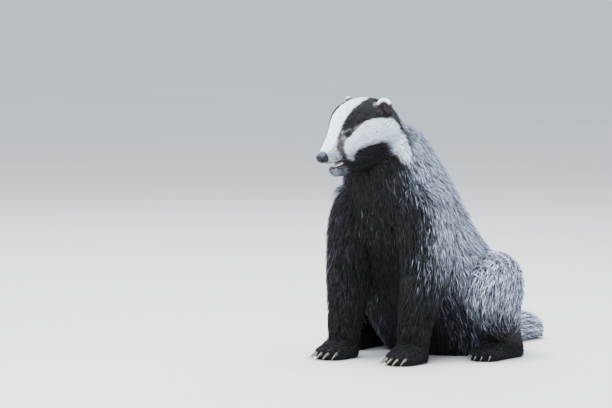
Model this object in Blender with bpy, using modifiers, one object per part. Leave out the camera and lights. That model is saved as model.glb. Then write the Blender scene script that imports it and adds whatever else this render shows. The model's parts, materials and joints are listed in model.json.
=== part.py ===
"""A European badger sitting on its haunches, life size, as a still model in named solids.

Metres, +Z up. The body faces -X and its left side faces -Y. Places on the body are given as
(forward, left, up) and places on the head as (behind the nose tip, left, above the nose tip).
"""

import math

import bmesh
import bpy
import numpy as np
from mathutils import Matrix, Vector

# Driving dimensions
SKULL_BASE = np.array([0.2252, 0.0, 0.3596])  # (forward, left, up) of the joint of head and neck
SKULL_TO_NOSE = 0.132
HEAD_PITCH = math.radians(21)  # nose down
HEAD_TURN = math.radians(12)  # to its right
JAW_OPEN = math.radians(6)
JAW_HINGE = (0.095, -0.008)  # behind the nose tip, above it
GAP = 0.0003  # between solids that meet

# Face, as places on the head
EYE_PLACE = (0.0525, 0.0190, 0.0185)
EYE_LOOKS = (0.42, 0.80, 0.36)  # forward, left, up
EYE_RADIUS = 0.0056
LID_OPENING = (0.0050, 0.0033)  # half width, half height
LID_THICKNESS = 0.0011
LIP_THICKNESS = 0.0013
LIP_STEPS = 8
UPPER_LIP_FRONT = 0.0130  # how far behind the nose's tip the upper lip begins
LOWER_LIP_FRONT = 0.0150
LIP_SPREAD = 1.5  # above 1 the points of a lip stand closer at its front
LIP_TURN = 38  # how far the lip climbs from the middle to the side of its jaw, in degrees
LIP_TURN_SHARE = 0.35  # the share of the lip over which it climbs
LIP_CORNER_SHARE = 0.26  # the share of the lip over which it bends to the corner of the mouth
MOUTH_CORNER = (0.0375, 0.0122, -0.0213)
NOSE_CUT = 0.0108  # the nose pad ends this far behind the tip
NOSTRIL_PLACE = (0.0030, 0.0050, -0.0036)
NOSTRIL_SIZE = (0.0046, 0.0026, 0.0019)  # half depth, half width, half height
EAR_PLACE = (0.1175, 0.0385, 0.0330)
EAR_SIZE = (0.0070, 0.0124, 0.0166)  # half depth, half width, half height

# Where the body is parted
HEAD_CUT = ((0.075, 0.0, -0.058), (0.157, 0.0, 0.043))  # throat and nape, as places on the head
NECK_CUT = ((0.272, 0.262), (0.128, 0.312))  # chest and withers: forward, up
TAIL_CUT = -0.043  # forward
FORELEG_BLOCK = ((0.245, 0.082, 0.015), (0.073, 0.052, 0.110))  # centre and half sizes
HINDLEG_BLOCK = ((0.080, 0.152, 0.070), (0.092, 0.050, 0.100))

# Toes and claws
TOE_SIZE = (0.0150, 0.0062, 0.0100)  # half length, half width, half height
TOE_HEIGHT = 0.0095
CLAW = {"fore": (0.023, 0.0034), "hind": (0.013, 0.0029)}  # length, half thickness at the root
CLAW_ROOT_HEIGHT = 0.0105
CLAW_TIP_HEIGHT = 0.0020

# Coat
LOCK_DEPTH = 0.010  # how far the tips of the locks stand over the core
# Along a lock: share of its length, of its half width, half thickness, height over the coat's outline
LOCK_FORM = ((0.0, 0.75, 0.0022, -0.0155), (0.38, 1.0, 0.0021, -0.0050), (0.74, 0.72, 0.0016, -0.0008))
LOCK_TIP = (1.0, 0.0, 0.0, 0.0006)
TRUNK_LOCK, TAIL_LOCK, THIGH_LOCK = 0.064, 0.052, 0.050  # lengths
COAT_SEED = 6

# Fineness of the solids
COARSE_VOXEL = 0.0035
FINE_VOXEL = 0.0016
BODY_TRIANGLES = 2900
HEAD_TRIANGLES = 2100

COLOURS = {
    "coat_grey": (0.30, 0.30, 0.31),
    "coat_black": (0.025, 0.025, 0.028),
    "coat_white": (0.80, 0.80, 0.80),
    "nose_black": (0.02, 0.02, 0.024),
    "eye_dark": (0.01, 0.008, 0.007),
    "tongue_pink": (0.45, 0.14, 0.12),
}
ROUGHNESS = {"nose_black": 0.45, "eye_dark": 0.08, "tongue_pink": 0.4}
NODE_COLOURS = {
    "head": "coat_white",
    "neck": "coat_grey",
    "torso": "coat_grey",
    "tail": "coat_grey",
    "nose": "nose_black",
    "tongue": "tongue_pink",
    "eye_left": "eye_dark",
    "eye_right": "eye_dark",
}


def body_point(forward, left, up):
    return np.array([-forward, -left, up])


def head_axes():
    """The head's forward, left and up directions in world axes."""
    forward = body_point(
        math.cos(HEAD_TURN) * math.cos(HEAD_PITCH),
        -math.sin(HEAD_TURN) * math.cos(HEAD_PITCH),
        -math.sin(HEAD_PITCH),
    )
    left = body_point(math.sin(HEAD_TURN), math.cos(HEAD_TURN), 0.0)
    return forward, left, np.cross(forward, left)


UP = np.array([0.0, 0.0, 1.0])
BODY_LEFT = body_point(0, 1, 0)
HEAD_FORWARD, HEAD_LEFT, HEAD_UP = head_axes()
NOSE_TIP = body_point(*SKULL_BASE) + HEAD_FORWARD * SKULL_TO_NOSE


def head_point(behind, left, above):
    return NOSE_TIP - HEAD_FORWARD * behind + HEAD_LEFT * left + HEAD_UP * above


# Each row: behind the nose tip, top, bottom (both above the nose tip), half width
SKULL_ROWS = (
    (0.006, 0.002, -0.008, 0.0060),
    (0.010, 0.0050, -0.0118, 0.0090),
    (0.014, 0.0074, -0.0150, 0.0120),
    (0.024, 0.0128, -0.018, 0.0165),
    (0.034, 0.0202, -0.019, 0.0194),
    (0.044, 0.0302, -0.022, 0.0235),
    (0.056, 0.0433, -0.028, 0.0310),
    (0.070, 0.0530, -0.032, 0.0400),
    (0.084, 0.0562, -0.035, 0.0472),
    (0.100, 0.0553, -0.038, 0.0508),
    (0.118, 0.0500, -0.041, 0.0500),
    (0.135, 0.0400, -0.044, 0.0415),
    (0.148, 0.0250, -0.044, 0.0310),
    (0.158, 0.0080, -0.034, 0.0200),
)
JAW_ROWS = (
    (0.0145, -0.0190, -0.0270, 0.0045),
    (0.0170, -0.0165, -0.0305, 0.0078),
    (0.0210, -0.0158, -0.0328, 0.0098),
    (0.0260, -0.0178, -0.0348, 0.0113),
    (0.0310, -0.0196, -0.0365, 0.0125),
    (0.0370, -0.0208, -0.0385, 0.0142),
    (0.0500, -0.0200, -0.0420, 0.0185),
    (0.066, -0.018, -0.046, 0.0260),
    (0.082, -0.014, -0.050, 0.0335),
    (0.100, -0.008, -0.052, 0.0400),
    (0.112, 0.000, -0.046, 0.0360),
)
# What fills the fold between the jaws behind the corner of the mouth: behind, left, above, half width, half height
CHEEK_ROWS = (
    (0.0370, 0.0088, -0.0214, 0.0034, 0.0045),
    (0.0400, 0.0100, -0.0216, 0.0050, 0.0062),
    (0.0450, 0.0115, -0.0218, 0.0066, 0.0075),
    (0.0550, 0.0150, -0.0222, 0.0088, 0.0085),
    (0.0700, 0.0200, -0.0215, 0.0118, 0.0090),
    (0.0900, 0.0240, -0.0200, 0.0130, 0.0090),
)
NOSE_ROWS = (
    (0.0000, 0.0004, -0.0050, 0.0038),
    (0.0010, 0.0021, -0.0077, 0.0064),
    (0.0035, 0.0038, -0.0100, 0.0084),
    (0.0070, 0.0050, -0.0110, 0.0093),
    (0.0110, 0.0057, -0.0115, 0.0098),
)
# Each row: forward, up, depth behind the line, depth before it, half width
TORSO_ROWS = (
    (0.228, 0.376, 0.010, 0.030, 0.026),
    (0.222, 0.356, 0.026, 0.040, 0.038),
    (0.215, 0.332, 0.055, 0.050, 0.058),
    (0.205, 0.300, 0.067, 0.060, 0.075),
    (0.190, 0.262, 0.076, 0.069, 0.089),
    (0.169, 0.222, 0.081, 0.074, 0.098),
    (0.141, 0.175, 0.085, 0.078, 0.106),
    (0.109, 0.125, 0.093, 0.083, 0.123),
    (0.080, 0.080, 0.108, 0.084, 0.126),
    (0.064, 0.045, 0.098, 0.082, 0.118),
    (0.058, 0.010, 0.080, 0.070, 0.098),
    (0.057, -0.015, 0.060, 0.052, 0.076),
)
# Each row: forward, left, up, half width across, half depth fore and aft
FORELEG_ROWS = (
    (0.196, 0.050, 0.250, 0.038, 0.046),
    (0.200, 0.062, 0.210, 0.041, 0.048),
    (0.203, 0.070, 0.160, 0.036, 0.043),
    (0.212, 0.070, 0.110, 0.0300, 0.034),
    (0.222, 0.067, 0.070, 0.0260, 0.028),
    (0.228, 0.066, 0.040, 0.0240, 0.0245),
    (0.230, 0.066, 0.018, 0.0215, 0.0210),
)
HINDLEG_ROWS = (
    (0.036, 0.072, 0.092, 0.046, 0.052),
    (0.060, 0.096, 0.103, 0.048, 0.058),
    (0.090, 0.116, 0.105, 0.041, 0.053),
    (0.114, 0.127, 0.090, 0.031, 0.043),
    (0.106, 0.130, 0.064, 0.026, 0.035),
    (0.080, 0.129, 0.040, 0.022, 0.029),
    (0.064, 0.128, 0.022, 0.019, 0.021),
)
# Each row: forward, top, half width; the sole is at the floor
FOREPAW_ROWS = (
    (0.211, 0.020, 0.0140),
    (0.221, 0.034, 0.0210),
    (0.240, 0.035, 0.0245),
    (0.257, 0.028, 0.0255),
    (0.268, 0.020, 0.0235),
    (0.275, 0.012, 0.0165),
)
FOREPAW_LEFT = 0.066
HINDPAW_ROWS = (
    (0.046, 0.018, 0.0115),
    (0.058, 0.034, 0.0180),
    (0.090, 0.034, 0.0200),
    (0.120, 0.027, 0.0225),
    (0.138, 0.019, 0.0220),
    (0.147, 0.011, 0.0160),
)
HINDPAW_LEFT = 0.130
# Each row: forward, up, half width, half height
TAIL_ROWS = (
    (-0.005, 0.058, 0.030, 0.032),
    (-0.035, 0.043, 0.031, 0.032),
    (-0.068, 0.032, 0.031, 0.031),
    (-0.105, 0.0265, 0.030, 0.028),
    (-0.145, 0.023, 0.026, 0.0245),
    (-0.178, 0.017, 0.016, 0.0165),
    (-0.194, 0.012, 0.005, 0.006),
)
# Each toe: offset to the left of the paw's middle, how far its tip trails the longest one
TOE_PLACES = ((-0.0185, 0.013), (-0.0095, 0.003), (0.0, 0.0), (0.0095, 0.002), (0.0180, 0.010))


def clear_scene():
    for obj in list(bpy.data.objects):
        bpy.data.objects.remove(obj, do_unlink=True)


def collection_named(name):
    made = bpy.data.collections.new(name)
    bpy.context.scene.collection.children.link(made)
    return made


def material(name, colour, roughness):
    made = bpy.data.materials.new(name)
    made.use_nodes = True
    shader = made.node_tree.nodes["Principled BSDF"]
    shader.inputs["Base Color"].default_value = (*colour, 1)
    shader.inputs["Roughness"].default_value = roughness
    shader.inputs["Metallic"].default_value = 0
    return made


def object_from(name, points, faces):
    mesh = bpy.data.meshes.new(name)
    mesh.from_pydata([tuple(p) for p in points], [], faces)
    work = bmesh.new()
    work.from_mesh(mesh)
    bmesh.ops.recalc_face_normals(work, faces=work.faces)
    work.to_mesh(mesh)
    work.free()
    obj = bpy.data.objects.new(name, mesh)
    bpy.context.scene.collection.objects.link(obj)
    return obj


def row_at(rows, place):
    """The row at a place between the given ones, on a smooth curve through them."""
    rows = np.array(rows, float)
    ends = np.vstack([2 * rows[0] - rows[1], rows, 2 * rows[-1] - rows[-2]])
    i = int(np.clip(place, 0, len(rows) - 2))
    t = place - i
    a, b, c, d = ends[i : i + 4]
    return 0.5 * (2 * b + (c - a) * t + (2 * a - 5 * b + 4 * c - d) * t**2 + (3 * b - a - 3 * c + d) * t**3)


def unit(vector):
    return np.array(vector) / np.linalg.norm(vector)


def loft(name, rings, tip=None):
    """One closed body through the rings, each of the same number of points; the tip may stand proud."""
    count, sides = len(rings), len(rings[0])
    tip = np.mean(rings[-1], 0) if tip is None else tip
    points = np.concatenate([*rings, [np.mean(rings[0], 0)], [tip]])
    faces = []
    for i in range(count - 1):
        for k in range(sides):
            after = (k + 1) % sides
            faces.append((i * sides + k, i * sides + after, (i + 1) * sides + after, (i + 1) * sides + k))
    first, last = count * sides, count * sides + 1
    for k in range(sides):
        after = (k + 1) % sides
        faces.append((first, after, k))
        faces.append((last, (count - 1) * sides + k, (count - 1) * sides + after))
    return object_from(name, points, faces)


def on_ring(ring, angle, power=2.2):
    """A point of an oval ring, which is (middle, across, along, half width, reach back, reach ahead)."""
    middle, across, along, half, low, high = ring
    c, s = math.cos(angle), math.sin(angle)
    x = math.copysign(abs(c) ** (2 / power), c) * half
    y = math.copysign(abs(s) ** (2 / power), s) * (high if s > 0 else low)
    return middle + across * x + along * y


def ring_points(ring, sides=28, power=2.2):
    return np.array([on_ring(ring, k * 2 * math.pi / sides, power) for k in range(sides)])


def sweep(name, ring_at, last, count, sides=28):
    """One body along the rings from place 0 to the last place."""
    return loft(name, [ring_points(ring_at(place), sides) for place in np.linspace(0, last, count)])


def oval(middle, across, along, half, low, high, sides=28, power=2.2):
    return ring_points((middle, across, along, half, low, high), sides, power)


def heading(line_at, place):
    return unit(line_at(place + 0.01) - line_at(place - 0.01))


def skull_ring(place):
    behind, top, bottom, half = row_at(SKULL_ROWS, place)
    middle = (top + bottom) / 2 - 0.15 * (top - bottom) / 2
    return head_point(behind, 0, middle), HEAD_LEFT, HEAD_UP, half, middle - bottom, top - middle


def skull():
    return sweep("skull", skull_ring, len(SKULL_ROWS) - 1, 40)


def opened(behind, above):
    """A place on the jaw after it has turned open about its hinge."""
    ds, dz = behind - JAW_HINGE[0], above - JAW_HINGE[1]
    c, s = math.cos(JAW_OPEN), math.sin(JAW_OPEN)
    return JAW_HINGE[0] + ds * c - dz * s, JAW_HINGE[1] + ds * s + dz * c


def jaw_ring(place):
    behind, top, bottom, half = row_at(JAW_ROWS, place)
    middle = (top + bottom) / 2 + 0.2 * (top - bottom) / 2
    turned = opened(behind, middle)
    up = HEAD_UP * math.cos(JAW_OPEN) + HEAD_FORWARD * math.sin(JAW_OPEN)
    return head_point(turned[0], 0, turned[1]), HEAD_LEFT, up, half, middle - bottom, top - middle


def jaw():
    return sweep("jaw", jaw_ring, len(JAW_ROWS) - 1, 24)


def cheek(side):
    def ring(place):
        behind, left, above, half, high = row_at(CHEEK_ROWS, place)
        return head_point(behind, side * left, above), HEAD_LEFT, HEAD_UP, half, high, high

    return sweep("cheek", ring, len(CHEEK_ROWS) - 1, 12)


def torso_line(place):
    forward, up = row_at(TORSO_ROWS, place)[:2]
    return body_point(forward, 0, up)


def torso_ring(place):
    """The coat's outline round the trunk, from the nape down to the rump."""
    _, _, behind, before, half = row_at(TORSO_ROWS, place)
    back = np.cross(BODY_LEFT, heading(torso_line, place))
    return torso_line(place), BODY_LEFT, back, half, before, behind


def torso_core_ring(place):
    """The same, less the depth by which the locks stand over the core."""
    middle, across, along, half, low, high = torso_ring(place)
    depth = LOCK_DEPTH * float(np.clip((place - 0.6) / 1.6, 0, 1))
    return middle, across, along, half - depth, low - 0.4 * depth, high - depth


def torso():
    return sweep("trunk", torso_core_ring, len(TORSO_ROWS) - 1, 36)


def tail_line(place):
    forward, up = row_at(TAIL_ROWS, place)[:2]
    return body_point(forward, 0, up)


def tail_ring(place):
    _, _, half, high = row_at(TAIL_ROWS, place)
    up = np.cross(BODY_LEFT, heading(tail_line, place))
    return tail_line(place), BODY_LEFT, up, half, high, high


def tail_core_ring(place):
    middle, across, along, half, low, high = tail_ring(place)
    half, low, high = (max(0.45 * size, size - LOCK_DEPTH) for size in (half, low, high))
    return middle, across, along, half, low, high


def tail():
    return sweep("tail_form", tail_core_ring, len(TAIL_ROWS) - 1.6, 24, 20)


def limb_ring(rows, side):
    def line(place):
        forward, left, up = row_at(rows, place)[:3]
        return body_point(forward, side * left, up)

    def ring(place):
        across, fore = row_at(rows, place)[3:]
        way = heading(line, place)
        front = unit(np.cross(way, BODY_LEFT))
        return line(place), np.cross(front, way), front, across, fore, fore

    return ring


def thigh_core_ring(side):
    """The hind leg less the depth of its locks, which end at the knee."""

    def ring(place):
        middle, across, along, half, low, high = limb_ring(HINDLEG_ROWS, side)(place)
        depth = LOCK_DEPTH * float(np.clip(3.2 - place, 0, 1))
        return middle, across, along, half - depth, low - depth, high - depth

    return ring


def legs_above_paws(side):
    return [
        sweep("foreleg", limb_ring(FORELEG_ROWS, side), len(FORELEG_ROWS) - 1, 24, 24),
        sweep("hindleg", thigh_core_ring(side), len(HINDLEG_ROWS) - 1, 24, 24),
    ]


def paw(rows, left, side):
    def ring(place):
        forward, top, half = row_at(rows, place)
        low = 0.3 * top
        return body_point(forward, side * left, low), BODY_LEFT, UP, half, low + 0.004, top - low

    return sweep("paw", ring, len(rows) - 1, 16)


def lock(ring_at, place, angle, length, half, slant, lift):
    """A flat tapered lock rooted in the core, which rises, bends and lies along the coat's outline."""

    def skin(a, b):
        return on_ring(ring_at(a), b)

    small = 1e-3
    reach = length / np.linalg.norm(skin(place + small, angle) - skin(place, angle)) * small
    swing = slant * length / np.linalg.norm(skin(place, angle + small) - skin(place, angle)) * small
    rings = []
    for t, wide, thick, high in (*LOCK_FORM, LOCK_TIP):
        a, b = place + reach * t, angle + swing * t
        spot = skin(a, b)
        along = unit(skin(a + reach * small, b + swing * small) - spot)
        normal = unit(np.cross(skin(a, b + small) - spot, along))
        if normal.dot(spot - ring_at(a)[0]) < 0:
            normal = -normal
        side = np.cross(normal, along)
        middle = spot + normal * (high + lift * t)
        corners = ((wide * half, -0.6 * thick), (0, thick), (-wide * half, -0.6 * thick))
        rings.append(np.array([middle + side * x + normal * y for x, y in corners]))
    return loft("lock", rings[:-1], rings[-1][0])


def coat_locks():
    """Tiers of overlapping locks over back, flanks, thighs and tail, each row set between the last."""
    random = np.random.default_rng(COAT_SEED)
    made = []

    def tier(ring_at, place, angles, length, half):
        for angle in angles:
            made.append(
                lock(
                    ring_at,
                    place + random.uniform(-0.12, 0.12),
                    angle + random.uniform(-0.06, 0.06),
                    length * random.uniform(0.85, 1.15),
                    half * random.uniform(0.85, 1.15),
                    random.uniform(-0.22, 0.22),
                    random.uniform(-0.001, 0.002),
                )
            )

    for k, place in enumerate(np.linspace(1.5, 9.4, 10)):
        count = int(round(7 + 0.42 * place))
        low, high = (math.radians(angle) for angle in (-24, 204))
        spread = np.linspace(low, high, count) + (k % 2) * (high - low) / (2 * count)
        clear = [angle for angle in spread if not under_thigh(on_ring(torso_ring(place), angle))]
        tier(torso_ring, place, clear, TRUNK_LOCK, 0.0125 + 0.0009 * place)
    for k, place in enumerate(np.linspace(1.0, 4.4, 4)):
        around = [math.radians(-22 + 56 * n + 28 * (k % 2)) for n in range(5)]
        tier(tail_ring, place, around, TAIL_LOCK, 0.0140)
    for side in (1, -1):
        outer = 0 if side > 0 else math.pi
        for k, place in enumerate((0.6, 1.5)):
            around = [outer + math.radians(angle + 16 * (k % 2)) for angle in (-70, -20, 30)]
            tier(limb_ring(HINDLEG_ROWS, side), place, around, THIGH_LOCK, 0.0165)
    return made


def under_thigh(place):
    forward, left, up = -place[0], abs(place[1]), place[2]
    return left > 0.088 and up < 0.150 and forward > -0.015


def joined(name, objects):
    """The meshes of these objects in one object, and the objects removed."""
    work = bmesh.new()
    for obj in objects:
        work.from_mesh(obj.data)
        bpy.data.objects.remove(obj, do_unlink=True)
    mesh = bpy.data.meshes.new(name)
    work.to_mesh(mesh)
    work.free()
    obj = bpy.data.objects.new(name, mesh)
    bpy.context.scene.collection.objects.link(obj)
    return obj


def applied(obj):
    """The object with its modifiers made part of its mesh."""
    graph = bpy.context.evaluated_depsgraph_get()
    mesh = bpy.data.meshes.new_from_object(obj.evaluated_get(graph))
    obj.modifiers.clear()
    obj.data = mesh
    return obj


def blended(obj, voxel, rounds):
    """The pieces made one skin, with the joins smoothed."""
    remesh = obj.modifiers.new("remesh", "REMESH")
    remesh.mode = "VOXEL"
    remesh.voxel_size = voxel
    soften = obj.modifiers.new("soften", "SMOOTH")
    soften.factor = 0.5
    soften.iterations = rounds
    return applied(obj)


def thinned(obj, triangles, weight=None):
    """The skin in about so many triangles, more of them where the weight of a place is high."""
    if weight:
        group = obj.vertex_groups.new(name="detail")
        for vertex in obj.data.vertices:
            group.add([vertex.index], weight(np.array(vertex.co)), "REPLACE")
    thin = obj.modifiers.new("thin", "DECIMATE")
    thin.ratio = triangles / (2 * len(obj.data.polygons))
    thin.use_collapse_triangulate = True
    if weight:
        thin.vertex_group = "detail"
        thin.invert_vertex_group = True
        thin.vertex_group_factor = 1.0
    applied(obj)
    obj.vertex_groups.clear()
    return obj


def copy_of(obj, name):
    made = bpy.data.objects.new(name, obj.data.copy())
    bpy.context.scene.collection.objects.link(made)
    return made


def boolean(obj, other, operation, solver="EXACT"):
    change = obj.modifiers.new("change", "BOOLEAN")
    change.object = other
    change.operation = operation
    change.solver = solver
    bpy.context.view_layer.update()
    return applied(obj)


def block(name, centre, axes, halves):
    """A box about centre, whose half sizes lie along the three axes."""
    bpy.ops.mesh.primitive_cube_add(size=2)
    return shaped(bpy.context.object, name, centre, axes, halves)


def ball(name, centre, axes, radii, segments=20, rings=12):
    bpy.ops.mesh.primitive_uv_sphere_add(segments=segments, ring_count=rings, radius=1)
    return shaped(bpy.context.object, name, centre, axes, radii)


def shaped(obj, name, centre, axes, halves):
    """The unit primitive at its place, with its half sizes along the three axes."""
    obj.name = name
    frame = Matrix([[*axes[k]] for k in range(3)]).transposed()
    obj.data.transform(Matrix.Translation(Vector(centre)) @ frame.to_4x4() @ Matrix.Diagonal((*halves, 1)))
    if frame.determinant() < 0:
        obj.data.flip_normals()
    return obj


def removed(*objects):
    for obj in objects:
        bpy.data.objects.remove(obj, do_unlink=True)


def clipped(obj, point, normal):
    """What lies on the side of the plane that the normal points away from, closed at the cut."""
    work = bmesh.new()
    work.from_mesh(obj.data)
    cut = bmesh.ops.bisect_plane(
        work,
        geom=work.verts[:] + work.edges[:] + work.faces[:],
        dist=1e-7,
        plane_co=Vector(point),
        plane_no=Vector(normal),
        clear_outer=True,
    )
    rim = [e for e in cut["geom_cut"] if isinstance(e, bmesh.types.BMEdge) and e.is_boundary]
    filled = bmesh.ops.edgeloop_fill(work, edges=rim)
    bmesh.ops.triangulate(work, faces=filled["faces"])
    bmesh.ops.recalc_face_normals(work, faces=work.faces)
    work.to_mesh(obj.data)
    work.free()
    return obj


def parted(obj, name, point, normal):
    """Cuts the object in two at a plane, leaving the gap, and returns the piece in front of it."""
    front = copy_of(obj, name)
    clipped(obj, point - normal * GAP / 2, normal)
    clipped(front, point + normal * GAP / 2, -normal)
    return front


def taken(obj, name, centre, axes, halves):
    """Takes what lies in a block out of the object as a piece of its own, leaving the gap."""
    inner = block("inner", centre, axes, halves)
    outer = block("outer", centre, axes, [half + GAP for half in halves])
    piece = boolean(copy_of(obj, name), inner, "INTERSECT", "MANIFOLD")
    boolean(obj, outer, "DIFFERENCE", "MANIFOLD")
    removed(inner, outer)
    return largest(piece)


def largest(obj):
    """Keeps only the object's largest closed surface."""
    work = bmesh.new()
    work.from_mesh(obj.data)
    bmesh.ops.triangulate(work, faces=work.faces)
    left, groups = set(work.faces), []
    while left:
        group, edge = set(), [left.pop()]
        while edge:
            face = edge.pop()
            group.add(face)
            for near in {f for e in face.edges for f in e.link_faces}:
                if near in left:
                    left.remove(near)
                    edge.append(near)
        groups.append(group)
    keep = max(groups, key=volume)
    spare = {vertex for group in groups if group is not keep for face in group for vertex in face.verts}
    bmesh.ops.delete(work, geom=list(spare), context="VERTS")
    work.to_mesh(obj.data)
    work.free()
    return obj


def volume(faces):
    return abs(sum(face.calc_center_median().dot(face.normal) * face.calc_area() for face in faces)) / 3


def fused(obj, pieces, solver="EXACT"):
    """The object and its closed pieces made one body."""
    group = bpy.data.collections.new("fused")
    bpy.context.scene.collection.children.link(group)
    for piece in pieces:
        group.objects.link(piece)
    change = obj.modifiers.new("union", "BOOLEAN")
    change.operand_type = "COLLECTION"
    change.collection = group
    change.operation = "UNION"
    change.solver = solver
    bpy.context.view_layer.update()
    applied(obj)
    removed(*pieces)
    bpy.data.collections.remove(group)
    return largest(obj)


def tube(name, points, thickness, cyclic=False):
    """A closed round tube along the points; thickness is its radius, or one for each point."""
    curve = bpy.data.curves.new(name, "CURVE")
    curve.dimensions = "3D"
    curve.bevel_depth = 1
    curve.bevel_resolution = 1
    curve.use_fill_caps = not cyclic
    line = curve.splines.new("POLY")
    line.points.add(len(points) - 1)
    line.use_cyclic_u = cyclic
    for k, (spot, place) in enumerate(zip(line.points, points)):
        spot.co = (*place, 1)
        spot.radius = thickness if np.isscalar(thickness) else thickness[k]
    made = bpy.data.objects.new(name, curve)
    bpy.context.scene.collection.objects.link(made)
    bpy.context.view_layer.update()
    mesh = bpy.data.meshes.new_from_object(made.evaluated_get(bpy.context.evaluated_depsgraph_get()))
    removed(made)
    work = bmesh.new()
    work.from_mesh(mesh)
    bmesh.ops.remove_doubles(work, verts=work.verts, dist=1e-6)
    bmesh.ops.recalc_face_normals(work, faces=work.faces)
    work.to_mesh(mesh)
    work.free()
    obj = bpy.data.objects.new(name, mesh)
    bpy.context.scene.collection.objects.link(obj)
    return obj


def toes(rows, left, side):
    """The round ends of the five toes of a paw."""
    front = rows[-1][0] - 0.004
    made = []
    for offset, trail in TOE_PLACES:
        centre = body_point(front - trail, side * (left + offset), TOE_HEIGHT)
        made.append(ball("toe", centre, (body_point(1, 0, 0), BODY_LEFT, UP), TOE_SIZE, 12, 8))
    return made


def claws(kind, rows, left, side):
    """Five claws that grow from the toes, arch forward and come down just clear of the floor."""
    length, thickness = CLAW[kind]
    front = rows[-1][0] + 0.003
    made = []
    for offset, trail in TOE_PLACES:
        rings = []
        for t in np.linspace(0, 1, 5):
            along = front - trail + t * length
            drop = (CLAW_ROOT_HEIGHT - CLAW_TIP_HEIGHT) * t**1.7
            up = CLAW_ROOT_HEIGHT - drop + 0.1 * length * t * (1 - t)
            wide = thickness * (1 - 0.86 * t**1.4)
            centre = body_point(along, side * (left + offset * (1 + 0.14 * t)), up)
            rings.append(oval(centre, BODY_LEFT, UP, 0.72 * wide, wide, wide, 6, 2.0))
        made.append(loft("claw", rings))
    return made


def eye_axes(side):
    """Out of the eye, along the lids, and across them."""
    ahead, left, up = EYE_LOOKS
    out = unit(HEAD_FORWARD * ahead + HEAD_LEFT * left * side + HEAD_UP * up)
    along = HEAD_FORWARD * 0.86 - HEAD_UP * 0.5
    along = unit(along - out * along.dot(out))
    return out, along, np.cross(out, along) * side


def eye_centre(side):
    behind, left, above = EYE_PLACE
    return head_point(behind, side * left, above)


def lids(side):
    """A rim of the two lids round the front of the eyeball, pointed at the corners."""
    out, along, across = eye_axes(side)
    reach = EYE_RADIUS + 0.3 * LID_THICKNESS
    points = []
    for angle in np.arange(16) * 2 * math.pi / 16:
        x = LID_OPENING[0] * math.cos(angle)
        y = LID_OPENING[1] * math.sin(angle) * abs(math.sin(angle)) ** 0.25
        depth = math.sqrt(reach**2 - x**2 - y**2)
        points.append(eye_centre(side) + along * x + across * y + out * depth)
    return tube("lids", points, LID_THICKNESS, cyclic=True)


def lip_line(upper, side):
    """Where a lip runs on its jaw, from the middle of the front to the corner of the mouth."""
    rows, ring_at, way = (SKULL_ROWS, skull_ring, -1) if upper else (JAW_ROWS, jaw_ring, 1)
    first = UPPER_LIP_FRONT if upper else LOWER_LIP_FRONT
    corner = head_point(MOUTH_CORNER[0], side * MOUTH_CORNER[1], MOUTH_CORNER[2])
    line = []
    for t in np.linspace(0, 1, LIP_STEPS):
        behind = first + (MOUTH_CORNER[0] - LIP_THICKNESS - first) * t**LIP_SPREAD
        place = float(np.interp(behind, [row[0] for row in rows], range(len(rows))))
        angle = way * math.radians(90 - LIP_TURN * min(1.0, t / LIP_TURN_SHARE))
        here = on_ring(ring_at(place), angle if side > 0 else math.pi - angle)
        share = np.clip(1 - (1 - t) / LIP_CORNER_SHARE, 0, 1)
        line.append(here + (corner - here) * share * share * (3 - 2 * share))
    return line


def lips():
    """The upper and the lower lip, each a soft rim along its jaw from corner to corner."""
    fade = [LIP_THICKNESS * (1 - 0.35 * abs(turn) ** 3) for turn in np.linspace(-1, 1, 2 * LIP_STEPS - 1)]
    return [
        tube(name, lip_line(upper, -1)[:0:-1] + lip_line(upper, 1), fade)
        for upper, name in ((True, "upper_lip"), (False, "lower_lip"))
    ]


def tongue():
    rings = []
    for t in np.linspace(0, 1, 6):
        behind = 0.0225 + 0.026 * t
        half = 0.0088 * math.sin(math.pi * min(0.5, 0.14 + 0.60 * t))
        high = 0.0026 * math.sin(math.pi * min(0.5, 0.16 + 0.55 * t))
        middle = head_point(behind, 0, -0.0240 + 0.0010 * t)
        rings.append(oval(middle, HEAD_LEFT, HEAD_UP, half, high, high, 12))
    return loft("tongue", rings)


def ear_axes(side):
    """The way the ear faces, its width, and the way it stands."""
    up = unit(HEAD_UP * 0.95 + HEAD_LEFT * side * 0.18 - HEAD_FORWARD * 0.10)
    facing = HEAD_FORWARD * 0.78 + HEAD_LEFT * side * 0.62
    facing = unit(facing - up * facing.dot(up))
    return facing, np.cross(up, facing), up


def ear_hull(name, side, extra=0.0):
    behind, left, above = EAR_PLACE
    radii = [size + extra for size in EAR_SIZE]
    return ball(name, head_point(behind, side * left, above), ear_axes(side), radii, 16, 10)


def ear(side, name):
    """A short round ear with its cup open to the front."""
    obj = ear_hull(name, side)
    facing, _, up = ear_axes(side)
    behind, left, above = EAR_PLACE
    deep, wide, high = EAR_SIZE
    centre = head_point(behind, side * left, above) + facing * deep * 1.05 + up * high * 0.16
    cup = ball("cup", centre, ear_axes(side), (deep, wide * 0.72, high * 0.72), 14, 9)
    boolean(obj, cup, "DIFFERENCE")
    removed(cup)
    return largest(obj)


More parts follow.
